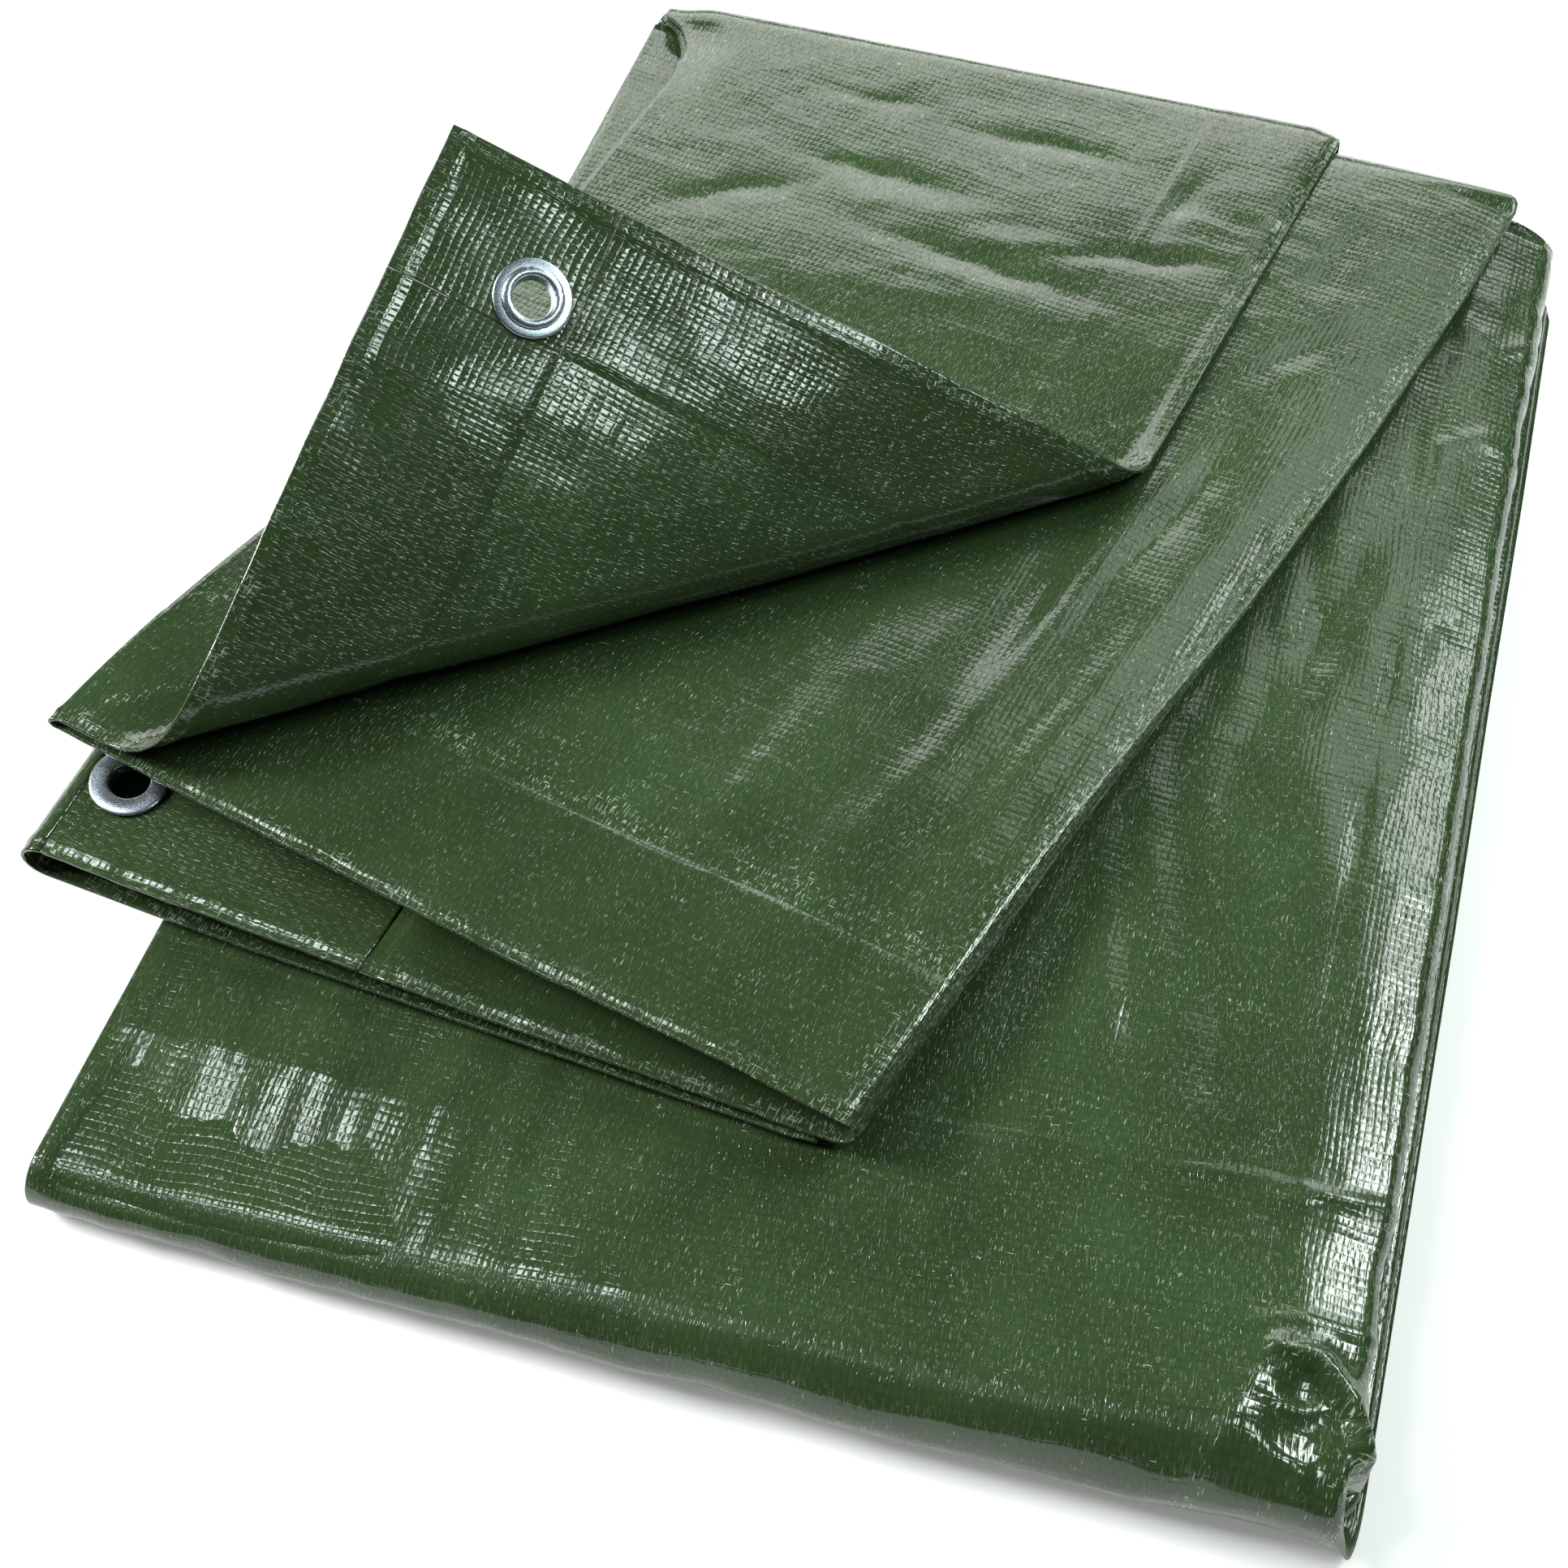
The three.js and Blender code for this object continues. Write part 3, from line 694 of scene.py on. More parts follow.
def lineDistance(x, y, line):
    # how far each place lies from a line of points
    best = np.full(np.shape(x), 1e9)
    for (x0, y0), (x1, y1) in zip(line, line[1:]):
        lengthSquared = (x1 - x0) ** 2 + (y1 - y0) ** 2
        t = np.clip(((x - x0) * (x1 - x0) + (y - y0) * (y1 - y0)) / lengthSquared, 0, 1)
        best = np.minimum(best, np.hypot(x - x0 - t * (x1 - x0), y - y0 - t * (y1 - y0)))
    return best


def hollows(x, y, table, sharpness):
    total = 0
    for middleX, middleY, length, width, turn, deep in table:
        c, s = cos(radians(turn)), sin(radians(turn))
        u = (x - middleX) * c + (y - middleY) * s
        v = (y - middleY) * c - (x - middleX) * s + 2.2 * roughField(x, y, 13, 13, middleX * 0.1)
        total = total + deep * np.exp(-((u / length) ** 2) - np.abs(v / width) ** sharpness)
    return total


def baseRelief(x, y):
    relief = wrinkles["baseSag"] * roughField(x, y, 70, 90, 3.1)
    # soft gathers run forward from the back right corner, between the strip and the shoulder
    gather = creaseField(x + 0.2 * y, y, 24, 110, 7.7) * 0.6
    gather = gather + roughField(x + 0.12 * y, y, 10, 60, 1.9) * 0.4
    reach = smooth((x - 10) / 60) * smooth((152 - x) / 20)
    reach = reach * smooth((y + 185) / 50) * smooth((238 - y) / 40)
    relief = relief + wrinkles["baseGathers"] * gather * reach
    # short upright ripples above the front left fold
    ripple = roughField(x, y, 5.5, 45, 5.3) * 0.5 + roughField(x, y, 15, 80, 6.1) * 0.8
    ripple = ripple * smooth((20 - x) / 90) * smooth((-165 - y) / 40)
    relief = relief + wrinkles["frontRipples"] * ripple
    # the long crease across the front, with the cloth a little lower before it
    line = -179 + 0.07 * (x - 33) + 1.2 * roughField(x, y, 26, 400, 2.2)
    shown = smooth((x - 5) / 50)
    ridge = 0.5 * bell(y - line, 1.6) * (0.6 + roughField(x, y, 18, 200, 8.4))
    relief = relief + shown * (ridge - 0.8 * smooth((line - y) / 14) * smooth((y + 240) / 20))
    relief = relief - hollows(x, y, wrinkles["baseHollows"], 2)
    for points, height, width in wrinkles["creases"]:
        wander = 1.2 * roughField(x, y, 9, 9, 12.5)
        relief = relief + height * np.exp(-np.abs(lineDistance(x, y, points) + wander) / width)
    # the shoulder's front end is folded in under a curved edge
    hoodEdge = np.interp(x, [146, 158, 167, 172], [-214, -215, -223, -236])
    hoodEdge = hoodEdge + 0.8 * roughField(x, y, 7, 7, 3.3)
    pastCrease = x - 146 - 0.25 * (y + 212)
    relief = relief - wrinkles["hoodDrop"] * smooth((hoodEdge - y) / 2.2) * smooth(pastCrease / 20)
    relief = relief + 0.9 * bell(hoodEdge - y + 2, 3) * smooth((x - 147) / 2)
    crush = smooth((x - 134) / 26) * smooth((-202 - y) / 26)
    relief = relief + wrinkles["cornerCrush"] * crush * creaseField(x, y, 11, 14, 4.4)
    # the left part slopes down to the front fold
    slope = np.clip(-207 - y, 0, 43)
    relief = relief - wrinkles["frontLeftTilt"] * slope * smooth((0 - x) / 120)
    # the shoulder starts in a shallow valley and is softly dented all along
    valley = x - 144.5 - 0.8 * roughField(x, y, 30, 30, 6.3)
    relief = relief - 0.9 * np.exp(-np.abs(valley) / 2.2)
    softDents = 0.6 * roughField(x, y, 22, 40, 9.9) + 0.2 * creaseField(x, y, 14, 40, 2.9)
    return relief + smooth((x - 143) / 5) * softDents


def stripRelief(x, y):
    relief = wrinkles["stripSag"] * roughField(x, y, 80, 90, 9.4)
    # long ripples run forward beside the right fold, and shallow dents lie across the back
    ripple = roughField(x - 0.3 * y, y, 17, 150, 4.8) + 0.3 * roughField(x - 0.3 * y, y, 7, 90, 8.1)
    ripple = ripple * smooth((x + 70) / 60) * smooth((90 - y) / 60) * smooth((y + 150) / 60)
    shallow = smooth((np.abs(roughField(x, y, 60, 34, 6.6)) - 0.12) / 0.3)
    dents = shallow * (roughField(x, y, 26, 9, 3.4) + 0.5 * creaseField(x, y, 34, 15, 5.9))
    dents = dents * smooth((y - 60) / 60) * smooth((x + 140) / 40)
    relief = relief + wrinkles["stripRipples"] * ripple + wrinkles["stripDents"] * dents
    relief = relief - hollows(x, y, wrinkles["dents"], 1.3)
    # panel A tips forward past its middle, and the cloth beyond its hem rolls off to the right
    hemSide, _ = hemDistances(x, y)
    tipped = smooth(hemSide / 10) * smooth((y + 60) / 60)
    relief = relief - wrinkles["panelTip"] * np.clip(105 - y, 0, 60) * tipped
    foldX = np.interp(y, [-193, -151, -99, 0, 84, 158, 200], [30, 44, 61, 96, 123, 144, 154])
    relief = relief - wrinkles["stripDroop"] * np.clip((x - foldX + 55) / 55, 0, 1) ** 2
    return relief * smooth((228 - y) / 30)


def hemThickness(distance, width):
    doubled = hems["step"] * smooth((width - distance) / 0.8)
    cord = hems["cordHeight"] * bell(distance - hems["cordFromEdge"], hems["cordWidth"])
    return packet["ply"] + doubled + cord * smooth((distance + 0.5) / 2.2)


def thinSheet(name, points, faces, thickness, uv, material, paintedGlintMask):
    # closes a surface of middle points into a sheet with two faces and a rim
    points = np.asarray(points, float)
    faces = [tuple(f) for f in faces]
    tris = np.array([(f[0], f[i], f[i + 1]) for f in faces for i in range(1, len(f) - 1)])
    corners = points[tris]
    normals = np.zeros_like(points)
    faceNormals = np.cross(corners[:, 1] - corners[:, 0], corners[:, 2] - corners[:, 0])
    for k in range(3):
        np.add.at(normals, tris[:, k], faceNormals)
    normals /= np.maximum(np.linalg.norm(normals, axis=1, keepdims=True), 1e-9)
    thickness = np.asarray(thickness, float)
    offset = normals * thickness[:, None] / 2
    count = len(points)
    # an edge that only one face uses lies on the rim
    directed = {(p, f[(i + 1) % len(f)]): True for f in faces for i, p in enumerate(f)}
    rims = [(p, p + count, q + count, q) for p, q in directed if (q, p) not in directed]
    allFaces = faces + [tuple(i + count for i in reversed(f)) for f in faces] + rims
    mesh = bpy.data.meshes.new(name)
    bothSides = toMetres(np.concatenate([points + offset, points - offset]))
    mesh.from_pydata(bothSides.tolist(), [], allFaces)
    mesh.validate()
    mesh.polygons.foreach_set("use_smooth", [True] * len(mesh.polygons))
    layer = mesh.uv_layers.new(name="clothMm")
    both = np.concatenate([uv, uv]) / 100
    index = np.empty(len(mesh.loops), int)
    mesh.loops.foreach_get("vertex_index", index)
    layer.data.foreach_set("uv", both[index].ravel())
    mesh.materials.append(material)
    # the mesh carries where its hem is doubled and where pale highlight dashes are painted
    doubled = np.clip((thickness - packet["ply"]) / hems["step"], 0, 1)
    for title, values in (("doubled", doubled), ("paintedGlintMask", np.clip(paintedGlintMask, 0, 1))):
        attribute = mesh.attributes.new(title, "FLOAT", "POINT")
        values = np.concatenate([values, values]).astype(np.float32)
        attribute.data.foreach_set("value", values)
    piece = bpy.data.objects.new(name, mesh)
    bpy.context.scene.collection.objects.link(piece)
    return piece


def gridFaces(keep):
    # quads of a grid of vertices, numbered over the kept ones row by row
    number = np.full(keep.shape, -1)
    number[keep] = np.arange(keep.sum())
    a, b, c, d = number[:-1, :-1], number[:-1, 1:], number[1:, 1:], number[1:, :-1]
    full = (a >= 0) & (b >= 0) & (c >= 0) & (d >= 0)
    return np.stack([a[full], b[full], c[full], d[full]], -1).tolist(), number


def arcs(points):
    return np.concatenate([[0], np.cumsum(np.linalg.norm(np.diff(points, axis=0), axis=1))])


def even(a, b, steps):
    return list(np.linspace(a, b, steps + 1))


def foldRows(below, above, depthOf, side, steps, slack=0.0):
    rows = []
    for i in range(1, steps):
        turn = pi * i / steps
        point = lerp(below, above, (1 - cos(turn)) / 2)
        depth = depthOf * pitchAt(point[:, 0], point[:, 1]) + slack
        point[:, 1] += side * depth * sin(turn)
        rows.append(point)
    return rows


# how finely the lower legs and the long top leg are divided
baseCounts = {
    "shares": {
        "A": even(1, 0, 8),
        "B": even(0, 1, 10),
        "C": even(1, 0, 10),
        "D": even(0, 1, 120),
        "shoulder": even(0, 1, 26)[1:],
    },
    "turns": (5, 6, 8),
    "tucked": 3,
    "backFold": 5,
    "bottom": 5,
    "frontFold": 20,
    "top": 172,
    "topNear": (84, 0.185),  # so many of the top's rows lie in this front share of it
    "uvRow": 75,  # the row, counted from the back, and panel D's column that measure the cloth
    "uvColumn": 60,
}


def makeBase():
    cols = columnSet(baseCounts["shares"], baseCounts["turns"])
    reach = legs["reach"]

    def legRows(name, fromY, toY, steps):
        shares = np.linspace(0, 1, steps + 1)
        if name == "top":
            near, nearShare = baseCounts["topNear"]
            shares = np.interp(np.arange(steps + 1), (0, near, steps), (0, nearShare, 1))
        return [legPoints(name, cols, lambda x, t=t: lerp(fromY(x), toY(x), t)) for t in shares]

    def tuckedFront(x):
        return frontFoldCentre(x) + legs["tuckedSetback"]

    tucked = legRows("tucked", tuckedFront, backFoldCentre, baseCounts["tucked"])
    bottom = legRows("bottom", backFoldCentre, frontFoldCentre, baseCounts["bottom"])
    top = legRows("top", frontFoldCentre, backFoldCentre, baseCounts["top"])
    order = cols["order"]
    backFold = foldRows(tucked[-1], bottom[0], reach["tucked"] + order, 1, baseCounts["backFold"])
    frontFold = foldRows(bottom[-1], top[0], reach["front"] + order, -1, baseCounts["frontFold"])
    grid = np.array(tucked + backFold + bottom + frontFold + top)
    uv = np.empty(grid.shape[:2] + (2,))
    middle = int(np.argmax(cols["panel"] == 3)) + baseCounts["uvColumn"]
    uv[..., 0] = arcs(grid[len(grid) - baseCounts["uvRow"]])[None, :]
    uv[..., 1] = arcs(grid[:, middle])[:, None]

    # panel D and its shoulder are what shows, so they carry the relief, along their normals
    firstFront = len(tucked) + len(backFold) + len(bottom)
    firstTop = firstFront + len(frontFold)
    shown = cols["panel"] >= 3
    seen = grid[firstFront:][:, shown]
    normals = np.cross(np.gradient(seen, axis=1), np.gradient(seen, axis=0))
    normals /= np.linalg.norm(normals, axis=-1, keepdims=True)
    relief = baseRelief(seen[..., 0], seen[..., 1])
    onFront = smooth((firstTop - firstFront - np.arange(len(seen))) / 8)[:, None]
    across, up = seen[..., 0], seen[..., 2]
    lumps = roughField(across, up, 34, 15, 8.8) + 0.4 * roughField(across, up, 9, 12, 5.7)
    relief = lerp(relief, wrinkles["frontLumps"] * lumps, onFront)
    fade = smooth((across - packet["left"] - 3) / 10) * smooth(np.arange(len(seen)) / 6)[:, None]
    grid[firstFront:, shown] = seen + normals * (relief * fade)[..., None]

    # pale highlight dashes are painted on the shoulder's rounded edge and along the two creases of
    # the front corner
    outer = smooth((cols["u"] - 0.55) / 0.15) * smooth((0.85 - cols["u"]) / 0.1)
    paintedGlintMask = np.where(cols["panel"] == 4, outer, 0)[None, :]
    for points, _, _ in wrinkles["creases"][:2]:
        away = lineDistance(grid[..., 0], grid[..., 1], points)
        paintedGlintMask = np.maximum(paintedGlintMask, 0.9 * bell(away, 2.5))
    return grid, uv, paintedGlintMask


# the base's mask of painted highlight dashes goes with its sheet
baseGrid, baseUv, basePaintedGlints = makeBase()
faces, _ = gridFaces(np.ones(baseGrid.shape[:2], bool))
tarpBase = thinSheet(
    "tarpBase",
    baseGrid.reshape(-1, 3),
    faces,
    np.full(baseGrid.shape[0] * baseGrid.shape[1], packet["ply"]),
    baseUv.reshape(-1, 2),
    laminateMaterial,
    basePaintedGlints.ravel(),
)
print("lower legs and top leg folded")

# mm from a hem's edge where rows lie closer, for its cord, and the same about its inner line
nearEdge = [0, 0.7, 1.8, 3, 4.3, 5.6, 7, 9, 11.5]
nearLine = [-0.8, 0, 0.8]


def edgeShares(cells=96):
    # shares along a hem of the flap, closer together at both edges and at the hems' inner lines
    shares = set()
    for n in nearEdge + [hems["side"] + d for d in nearLine]:
        shares.add(n / flap["startOnEndHem"])
    for n in nearEdge + [hems["end"] + d for d in nearLine]:
        shares.add(1 - n / flap["foldOnSideHem"])
    for s in even(0, 1, cells):
        if min(abs(s - t) for t in shares) > 0.45 / cells:
            shares.add(s)
    return sorted(shares)


# how finely the strip is divided
stripCounts = {
    "A": [1 - s for s in edgeShares()],
    "B": even(0, 1, 92),
    "C": even(1, 0.42, 12) + even(0.42, 0, 10)[1:],
    "D": even(0, 1, 14),
    "shoulder": even(0, 1, 5)[1:],
    "turns": (7, 10, 9),
    "topFold": 14,
    "rows": 112,
}


def makeStrip():
    shares = edgeShares()
    cols = columnSet(stripCounts, stripCounts["turns"])
    hemV = hems["lower"]["hemV"]
    marked = nearEdge + [51.4, hems["end"], 52.8]
    marked = [1 - d / strip["length"] for d in marked] + [hemV]
    spread = even(0, 1, stripCounts["rows"])
    vs = sorted(set(marked + [v for v in spread if min(abs(v - t) for t in marked) > 0.004]))
    # toward the back, panel A's hem lies down on panel B
    flatA = (cols["panel"] == 0) & (cols["side"] == 0)
    settled = np.where(flatA, 0.75 - 0.75 * smooth((1 - cols["u"]) * 24), 0)
    # and the plies draw together where the back fold ends on the left
    nearLeft = np.where(cols["side"] == 0, 1 - smooth(cols["u"] * 14), cols["side"] < 0)
    drawn = (cols["order"] - 1.5) * -0.68 * nearLeft

    def ease(v):
        shift = settled * (1 - smooth((v - 0.3) / 0.4)) + drawn * (1 - smooth(v / 0.16))
        return dict(cols, order=cols["order"] + shift)

    top = legPoints("top", ease(0), backFoldCentre)
    rows = [stripPoints(ease(v), v) for v in vs]
    depth = legs["reach"]["top"] - ease(0)["order"]
    fold = foldRows(top, rows[0], depth, 1, stripCounts["topFold"], legs["topFoldSlack"])
    grid = np.array([top] + fold + rows)
    first = 1 + len(fold)
    keep = np.ones(grid.shape[:2], bool)
    # the lower hem's own piece fills a part of panel C
    inHem = (cols["u"] > 1e-6) & (cols["u"] < hems["lower"]["farU"] - 1e-6)
    opened = (cols["panel"] == 2) & (cols["side"] == 0) & inHem
    for i, v in enumerate(vs):
        if v > hemV + 1e-6:
            keep[first + i, opened] = False
    # cloth millimetres, measured from the hems, running on round the folds
    a, b = hemDistances(grid[..., 0], grid[..., 1])
    a = a + np.interp(cols["order"], [0, 1, 2, 3], [0, 4, -11, -5])[None, :]
    share = np.concatenate([[0], np.arange(1, first) / first])
    b[:first] = b[first][None, :] + (1 - share)[:, None] * 35
    uv = np.stack([a, b], -1)
    # thickness of the hems
    thickness = np.full(grid.shape[:2], packet["ply"])
    onward = (1 - np.array(vs)[:, None]) * strip["length"]
    thickness[first:] = hemThickness(onward, hems["end"])
    sideDistance = np.abs(hemDistances(grid[:, flatA, 0], grid[:, flatA, 1])[0])
    thickness[:, flatA] = hemThickness(sideDistance, hems["side"])
    # relief, less of it in each lower panel so that they stay apart
    amount = np.interp(cols["order"], [0, 1, 2, 3], [1, 0.9, 0.35, 0.1])
    grid[first:, :, 2] += stripRelief(grid[first:, :, 0], grid[first:, :, 1]) * amount[None, :]
    grid[first:, :, 2] += pucker(grid[first:, :, 0], onward)
    # painted highlight dashes crowd on the front edge, on the hem's inner line, on panel A's hem and
    # on the right fold
    paintedGlintMask = np.zeros(grid.shape[:2])
    paintedGlintMask[first:] = np.maximum(bell(onward - 2.5, 3), 0.75 * bell(onward - 57, 6))
    paintedGlintMask[:, flatA] = np.maximum(paintedGlintMask[:, flatA], 0.9 * edgeGlintMask(sideDistance))
    onFold = ((cols["side"] > 0) & (cols["turn"] < 1.4)) | (cols["u"] > 0.985)
    onFold = onFold & (cols["panel"] == 1)
    paintedGlintMask[first:, onFold] = np.maximum(paintedGlintMask[first:, onFold], 0.85)

    faces, number = gridFaces(keep)
    points = grid[keep]
    uvs = uv[keep]
    thick = thickness[keep]
    glintMask = paintedGlintMask[keep]
    # the flap: a triangle of cells in the corner's own hem distances
    n = len(shares) - 1
    aShares = np.array(shares) * flap["startOnEndHem"]
    bShares = (1 - np.array(shares)[::-1]) * flap["foldOnSideHem"]
    flapIndex = {}
    lastRow = number[-1]
    aColumns = np.flatnonzero(flatA)
    newPoints = []
    patchA, patchB = hems["side"] + hems["gap"], hems["end"] + hems["gap"]
    for i in range(n + 1):
        for j in range(n + 1 - i):
            if i + j == n:
                flapIndex[i, j] = int(lastRow[aColumns[i]])
            elif not (aShares[i] < hems["side"] - 1e-6 and bShares[j] < hems["end"] - 1e-6):
                flapIndex[i, j] = len(points) + len(newPoints)
                newPoints.append((aShares[i], bShares[j]))
    ab = np.array(newPoints)
    # the stepped edge round the corner's own hem piece keeps its gap
    onA = (np.abs(ab[:, 0] - hems["side"]) < 1e-6) & (ab[:, 1] < patchB)
    onB = (np.abs(ab[:, 1] - hems["end"]) < 1e-6) & (ab[:, 0] < patchA)
    ab[onA, 0] = patchA
    ab[onB, 1] = patchB
    x, y = cornerPlace(ab[:, 0], ab[:, 1])
    rolled = flapPoints(x, y)
    rolled[:, 2] += flapRelief(ab[:, 0], ab[:, 1]) + stripRelief(x, y) * cornerFade(ab)
    edge = np.maximum(hemThickness(ab[:, 0], hems["side"]), hemThickness(ab[:, 1], hems["end"]))
    points = np.concatenate([points, rolled])
    uvs = np.concatenate([uvs, ab])
    thick = np.concatenate([thick, edge])
    # pale highlight dashes are painted along the flap's two hem edges too
    glintMask = np.concatenate([glintMask, np.maximum(edgeGlintMask(ab[:, 0]), edgeGlintMask(ab[:, 1]))])
    for i in range(n):
        for j in range(n - i):
            ring = [(i, j), (i, j + 1), (i + 1, j + 1), (i + 1, j)]
            found = [flapIndex[k] for k in ring if k in flapIndex]
            if len(found) == 4 or (i + j == n - 1 and len(found) == 3):
                faces.append(found)
    return points, faces, thick, uvs, glintMask


def edgeGlintMask(distance):
    # painted highlight dashes gather a little in from a hem's edge
    return bell(np.abs(distance) - 2.5, 2.5)


def pucker(x, onward):
    # the welded hem draws the strip's front edge into small irregular waves
    waves = 0.45 * roughField(x, onward, 7, 40, 1.3) + 0.25 * creaseField(x, onward, 12, 60, 2.3)
    return waves * (1 - smooth(onward / 16))


def cornerFade(ab):
    # the strip's own relief dies out over the first centimetres of the roll
    inside = 1 - ab[:, 0] / flap["startOnEndHem"] - ab[:, 1] / flap["foldOnSideHem"]
    return 1 - smooth(inside / 0.12)


def flapRelief(a, b):
    inside = 1 - a / flap["startOnEndHem"] - b / flap["foldOnSideHem"]
    ripple = roughField(a, b, 34, 48, 2.7) + 0.5 * roughField(a, b, 15, 22, 3.9)
    return wrinkles["flapRipples"] * ripple * smooth(inside / 0.15)


# the strip's mask of painted highlight dashes goes with its sheet
*stripData, stripPaintedGlints = makeStrip()
tarpStrip = thinSheet("tarpStrip", *stripData, laminateMaterial, stripPaintedGlints)
print("strip folded forward and its corner turned back")


def ringGrid(centre, low, high, around, rings):
    # rings of (a, b) from the eyelet hole out to the piece's rectangle
    sideSteps = around // 4
    corners = np.array([low, (high[0], low[1]), high, (low[0], high[1])])
    steps = even(0, 1, sideSteps)[:-1]
    outer = np.array([lerp(corners[i], corners[(i + 1) % 4], t) for i in range(4) for t in steps])
    reach = np.linalg.norm(outer - centre, axis=1)
    hole = hems["hole"] / reach
    return np.array([centre + (outer - centre) * lerp(hole, 1, t)[:, None] for t in rings])


hemRings = {
    "around": 160,
    "shares": (0, 0.06, 0.12, 0.2, 0.28, 0.36, 0.44, 0.52, 0.6, 0.66, 0.71, 0.75, 0.79, 0.82, 0.85,
               0.88, 0.91, 0.94, 0.97, 0.985, 1),
    "extra": 0.35,  # mm of thickness that the hem's second layer adds
}


def makeHem(name, pointAt, relief, centre, low, high, widths):
    ab = ringGrid(centre, low, high, hemRings["around"], hemRings["shares"])
    points = pointAt(ab[..., 0], ab[..., 1])
    points[..., 2] += relief(ab[..., 0], ab[..., 1])
    edge = np.maximum(hemThickness(ab[..., 0], widths[0]), hemThickness(ab[..., 1], widths[1]))
    thickness = edge + hemRings["extra"]
    count = ab.shape[1]
    number = np.arange(ab.shape[0] * count).reshape(ab.shape[:2])
    faces = []
    for r in range(ab.shape[0] - 1):
        for c in range(count):
            d = (c + 1) % count
            ring = (number[r + 1, c], number[r + 1, d], number[r, d], number[r, c])
            faces.append(tuple(int(k) for k in ring))
    # pale highlight dashes are painted along the hem piece's edges
    glintMask = np.maximum(edgeGlintMask(ab[..., 0]), edgeGlintMask(ab[..., 1]) if widths[1] > 0 else 0)
    points, uv = points.reshape(-1, 3), ab.reshape(-1, 2)
    return thinSheet(name, points, faces, thickness.ravel(), uv, hemMaterial, glintMask.ravel())


def cornerHemPoints(a, b):
    return flapPoints(*cornerPlace(a, b))


def lowerHemPoints(fromEdge, fromFold):
    lower = hems["lower"]
    v = 1 - (1 - lower["hemV"]) * fromEdge / lower["depth"]
    u = fromFold / lower["span"]
    low = stripEdge("lowLeft", v)
    fold = stripEdge("foldBC", v)
    x, y = lerp(low[0], fold[0], u), lerp(low[1], fold[1], u)
    return np.stack([x, y, stripHeight(np.full_like(x, 2.0), x, y)], -1)


def lowerRelief(fromEdge, fromFold):
    place = lowerHemPoints(fromEdge, fromFold)
    return stripRelief(place[..., 0], place[..., 1]) * 0.35 + pucker(place[..., 0], fromEdge)


# the last pair says how far the doubled layer reaches from the two edges, past the piece's end
cornerHem = makeHem(
    "cornerHem",
    cornerHemPoints,
    flapRelief,
    hems["cornerEyelet"],
    (0, 0),
    (hems["side"], hems["end"]),
    (hems["side"] + 9, hems["end"] + 9),
)
lower = hems["lower"]
endHem = makeHem(
    "endHem",
    lowerHemPoints,
    lowerRelief,
    lower["eyelet"],
    (0, hems["gap"]),
    (lower["depth"] - hems["gap"], lower["farU"] * lower["span"] - hems["gap"]),
    (60, -20),
)

eyelet = {
    "sides": 96,
    # r from the axis and h above the middle of the hem, the washer's side up
    "barrel": ((5.75, -1.6), (5.95, -1.95), (6.4, -2.1), (8.5, -2.1), (10.4, -2.06), (10.95, -1.9),
               (11.2, -1.62), (11.15, -1.4), (11.0, -1.3), (6.15, -1.3), (6.15, 2.3), (8.45, 2.3),
               (8.75, 2.42), (8.85, 2.65), (8.6, 2.95), (8.1, 3.15), (7.5, 3.28), (6.9, 3.26),
               (6.4, 3.12), (6.1, 2.85), (5.95, 2.3)),
    "washer": ((6.5, 1.3), (11.1, 1.3), (11.32, 1.42), (11.3, 1.66), (11.05, 1.86), (10.7, 1.95),
               (9.0, 1.99), (7.2, 2.0), (6.5, 1.8)),
    "splitsAt": (0.6, 2.1, 3.3, 4.0, 5.4),  # angles at which the rolled collar has split
    "splitReach": 0.09,
    "splitDepth": 0.22,
}


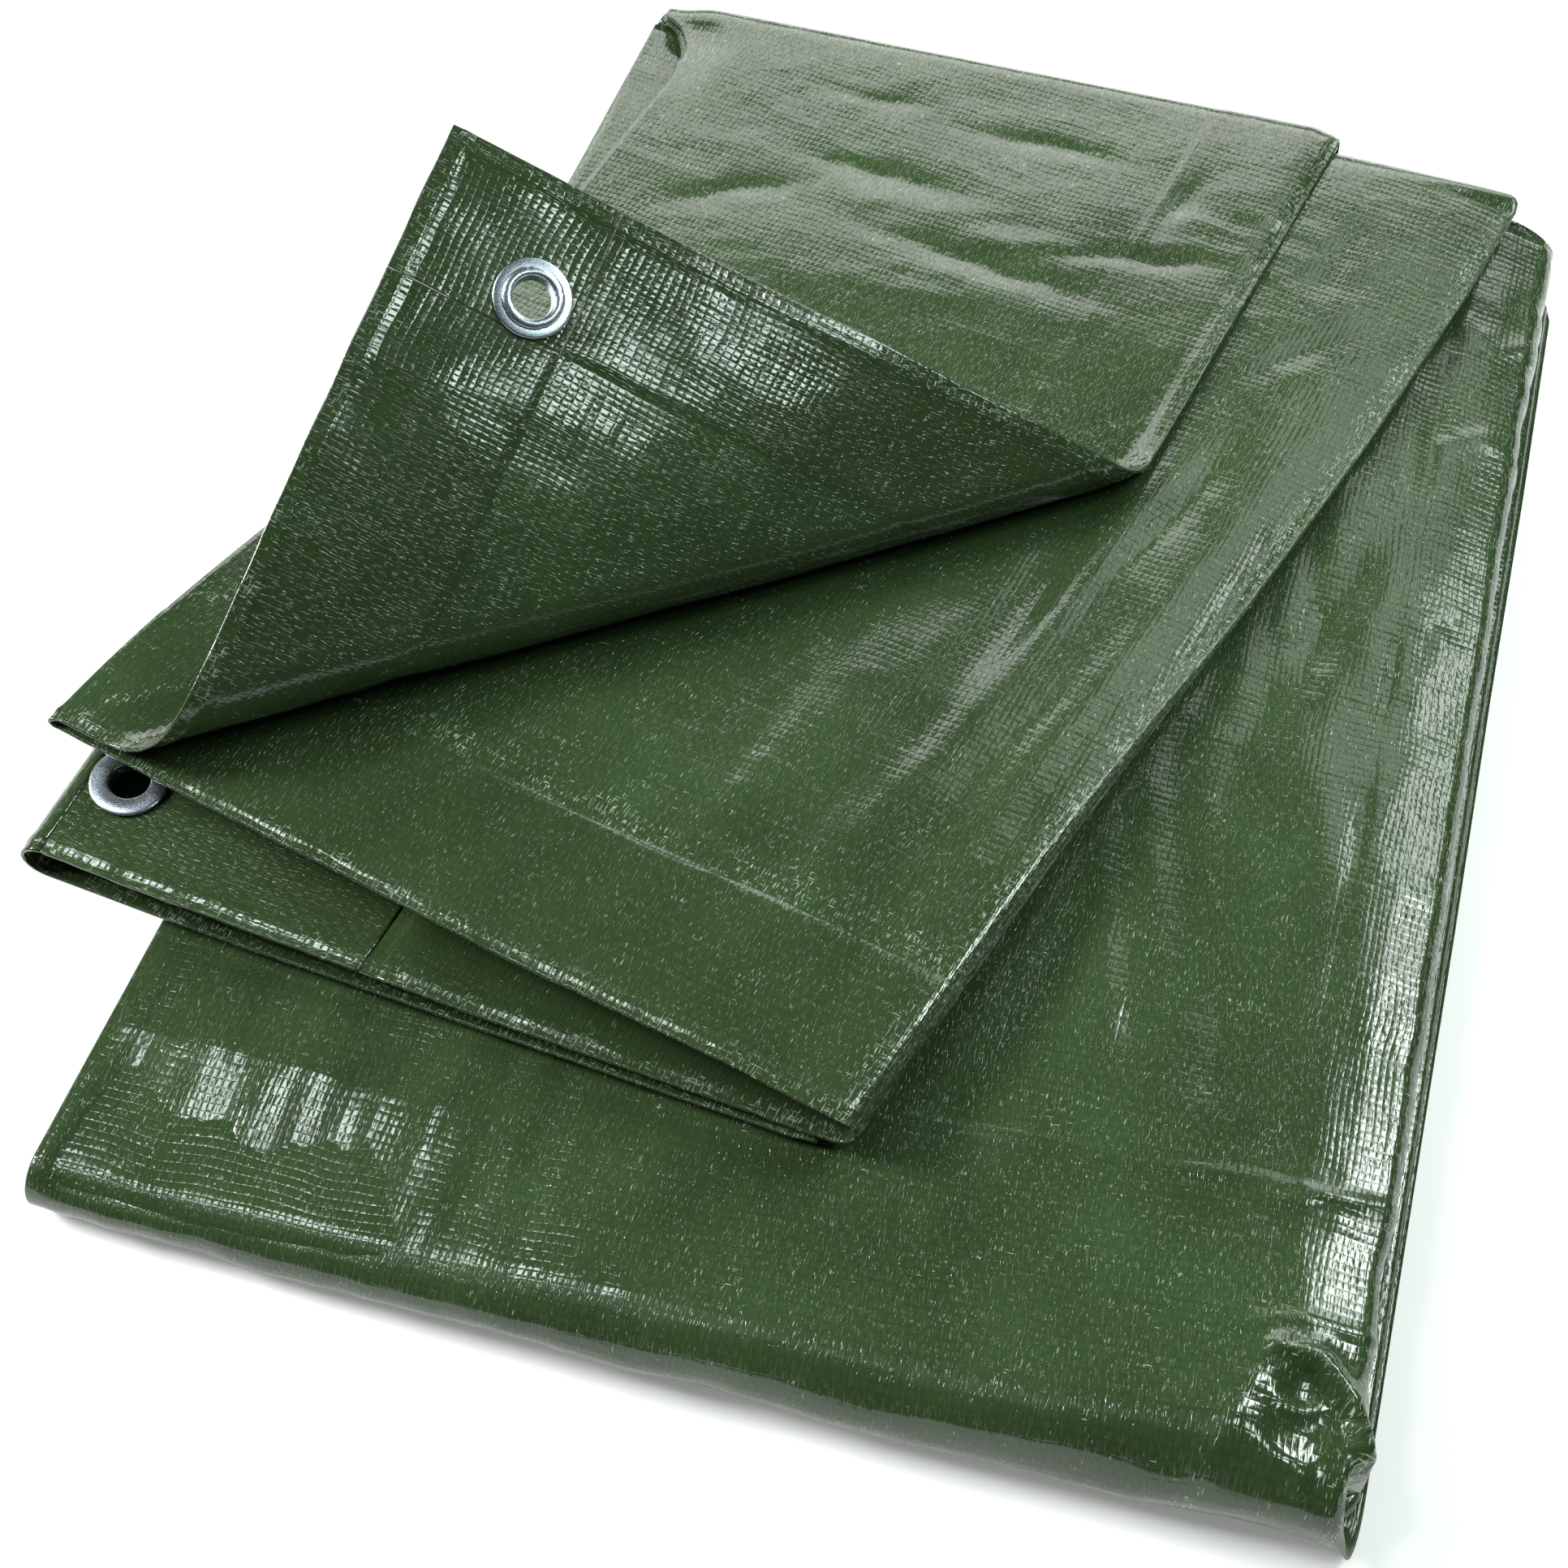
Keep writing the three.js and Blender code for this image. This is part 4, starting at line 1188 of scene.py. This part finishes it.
def turnedPiece(name, profile, splits):
    mesh = bpy.data.meshes.new(name)
    sides = eyelet["sides"]
    points, faces = [], []
    for i in range(sides):
        angle = 2 * pi * i / sides
        for r, h in profile:
            # the rolled collar splits a little where it was flared over the washer
            if splits and r > 6.3 and h > 2.2:
                away = [abs((angle - s + pi) % (2 * pi) - pi) for s in splits]
                near = sum(max(0, 1 - d / eyelet["splitReach"]) for d in away)
                r -= eyelet["splitDepth"] * near
            points.append((r * cos(angle) * mm, r * sin(angle) * mm, h * mm))
    count = len(profile)
    for i in range(sides):
        for k in range(count):
            m, j = (k + 1) % count, (i + 1) % sides
            faces.append((i * count + k, j * count + k, j * count + m, i * count + m))
    mesh.from_pydata(points, [], faces)
    mesh.polygons.foreach_set("use_smooth", [True] * len(mesh.polygons))
    mesh.materials.append(metalMaterial)
    piece = bpy.data.objects.new(name, mesh)
    bpy.context.scene.collection.objects.link(piece)
    return piece


def seatOn(piece, pointAt, a, b):
    def spot(i, j):
        return toMetres(pointAt(np.array([a + i]), np.array([b + j])))[0]

    across = spot(1.0, 0.0) - spot(-1.0, 0.0)
    along = spot(0.0, 1.0) - spot(0.0, -1.0)
    axis = Vector(np.cross(across, along)).normalized()
    turn = Vector((0, 0, 1)).rotation_difference(axis).to_matrix().to_4x4()
    piece.data.transform(Matrix.Translation(spot(0.0, 0.0)) @ turn)


for place, pointAt, (a, b) in (
    ("Corner", cornerHemPoints, hems["cornerEyelet"]),
    ("End", lowerHemPoints, lower["eyelet"]),
):
    barrel = turnedPiece("eyelet" + place, eyelet["barrel"], eyelet["splitsAt"])
    washer = turnedPiece("washer" + place, eyelet["washer"], ())
    for piece, node in ((barrel, "eyelet_"), (washer, "washer_")):
        seatOn(piece, pointAt, a, b)
        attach(piece, "root")
        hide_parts(node + place.lower())
print("hems and eyelets set")

for piece, node, slot in (
    (tarpBase, "tarp_sheet", "laminate"),
    (tarpStrip, "tarp_sheet", "laminate"),
    (cornerHem, "corner_hem", "welded_hem"),
    (endHem, "end_hem", "welded_hem"),
):
    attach(piece, "root")
    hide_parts(node)
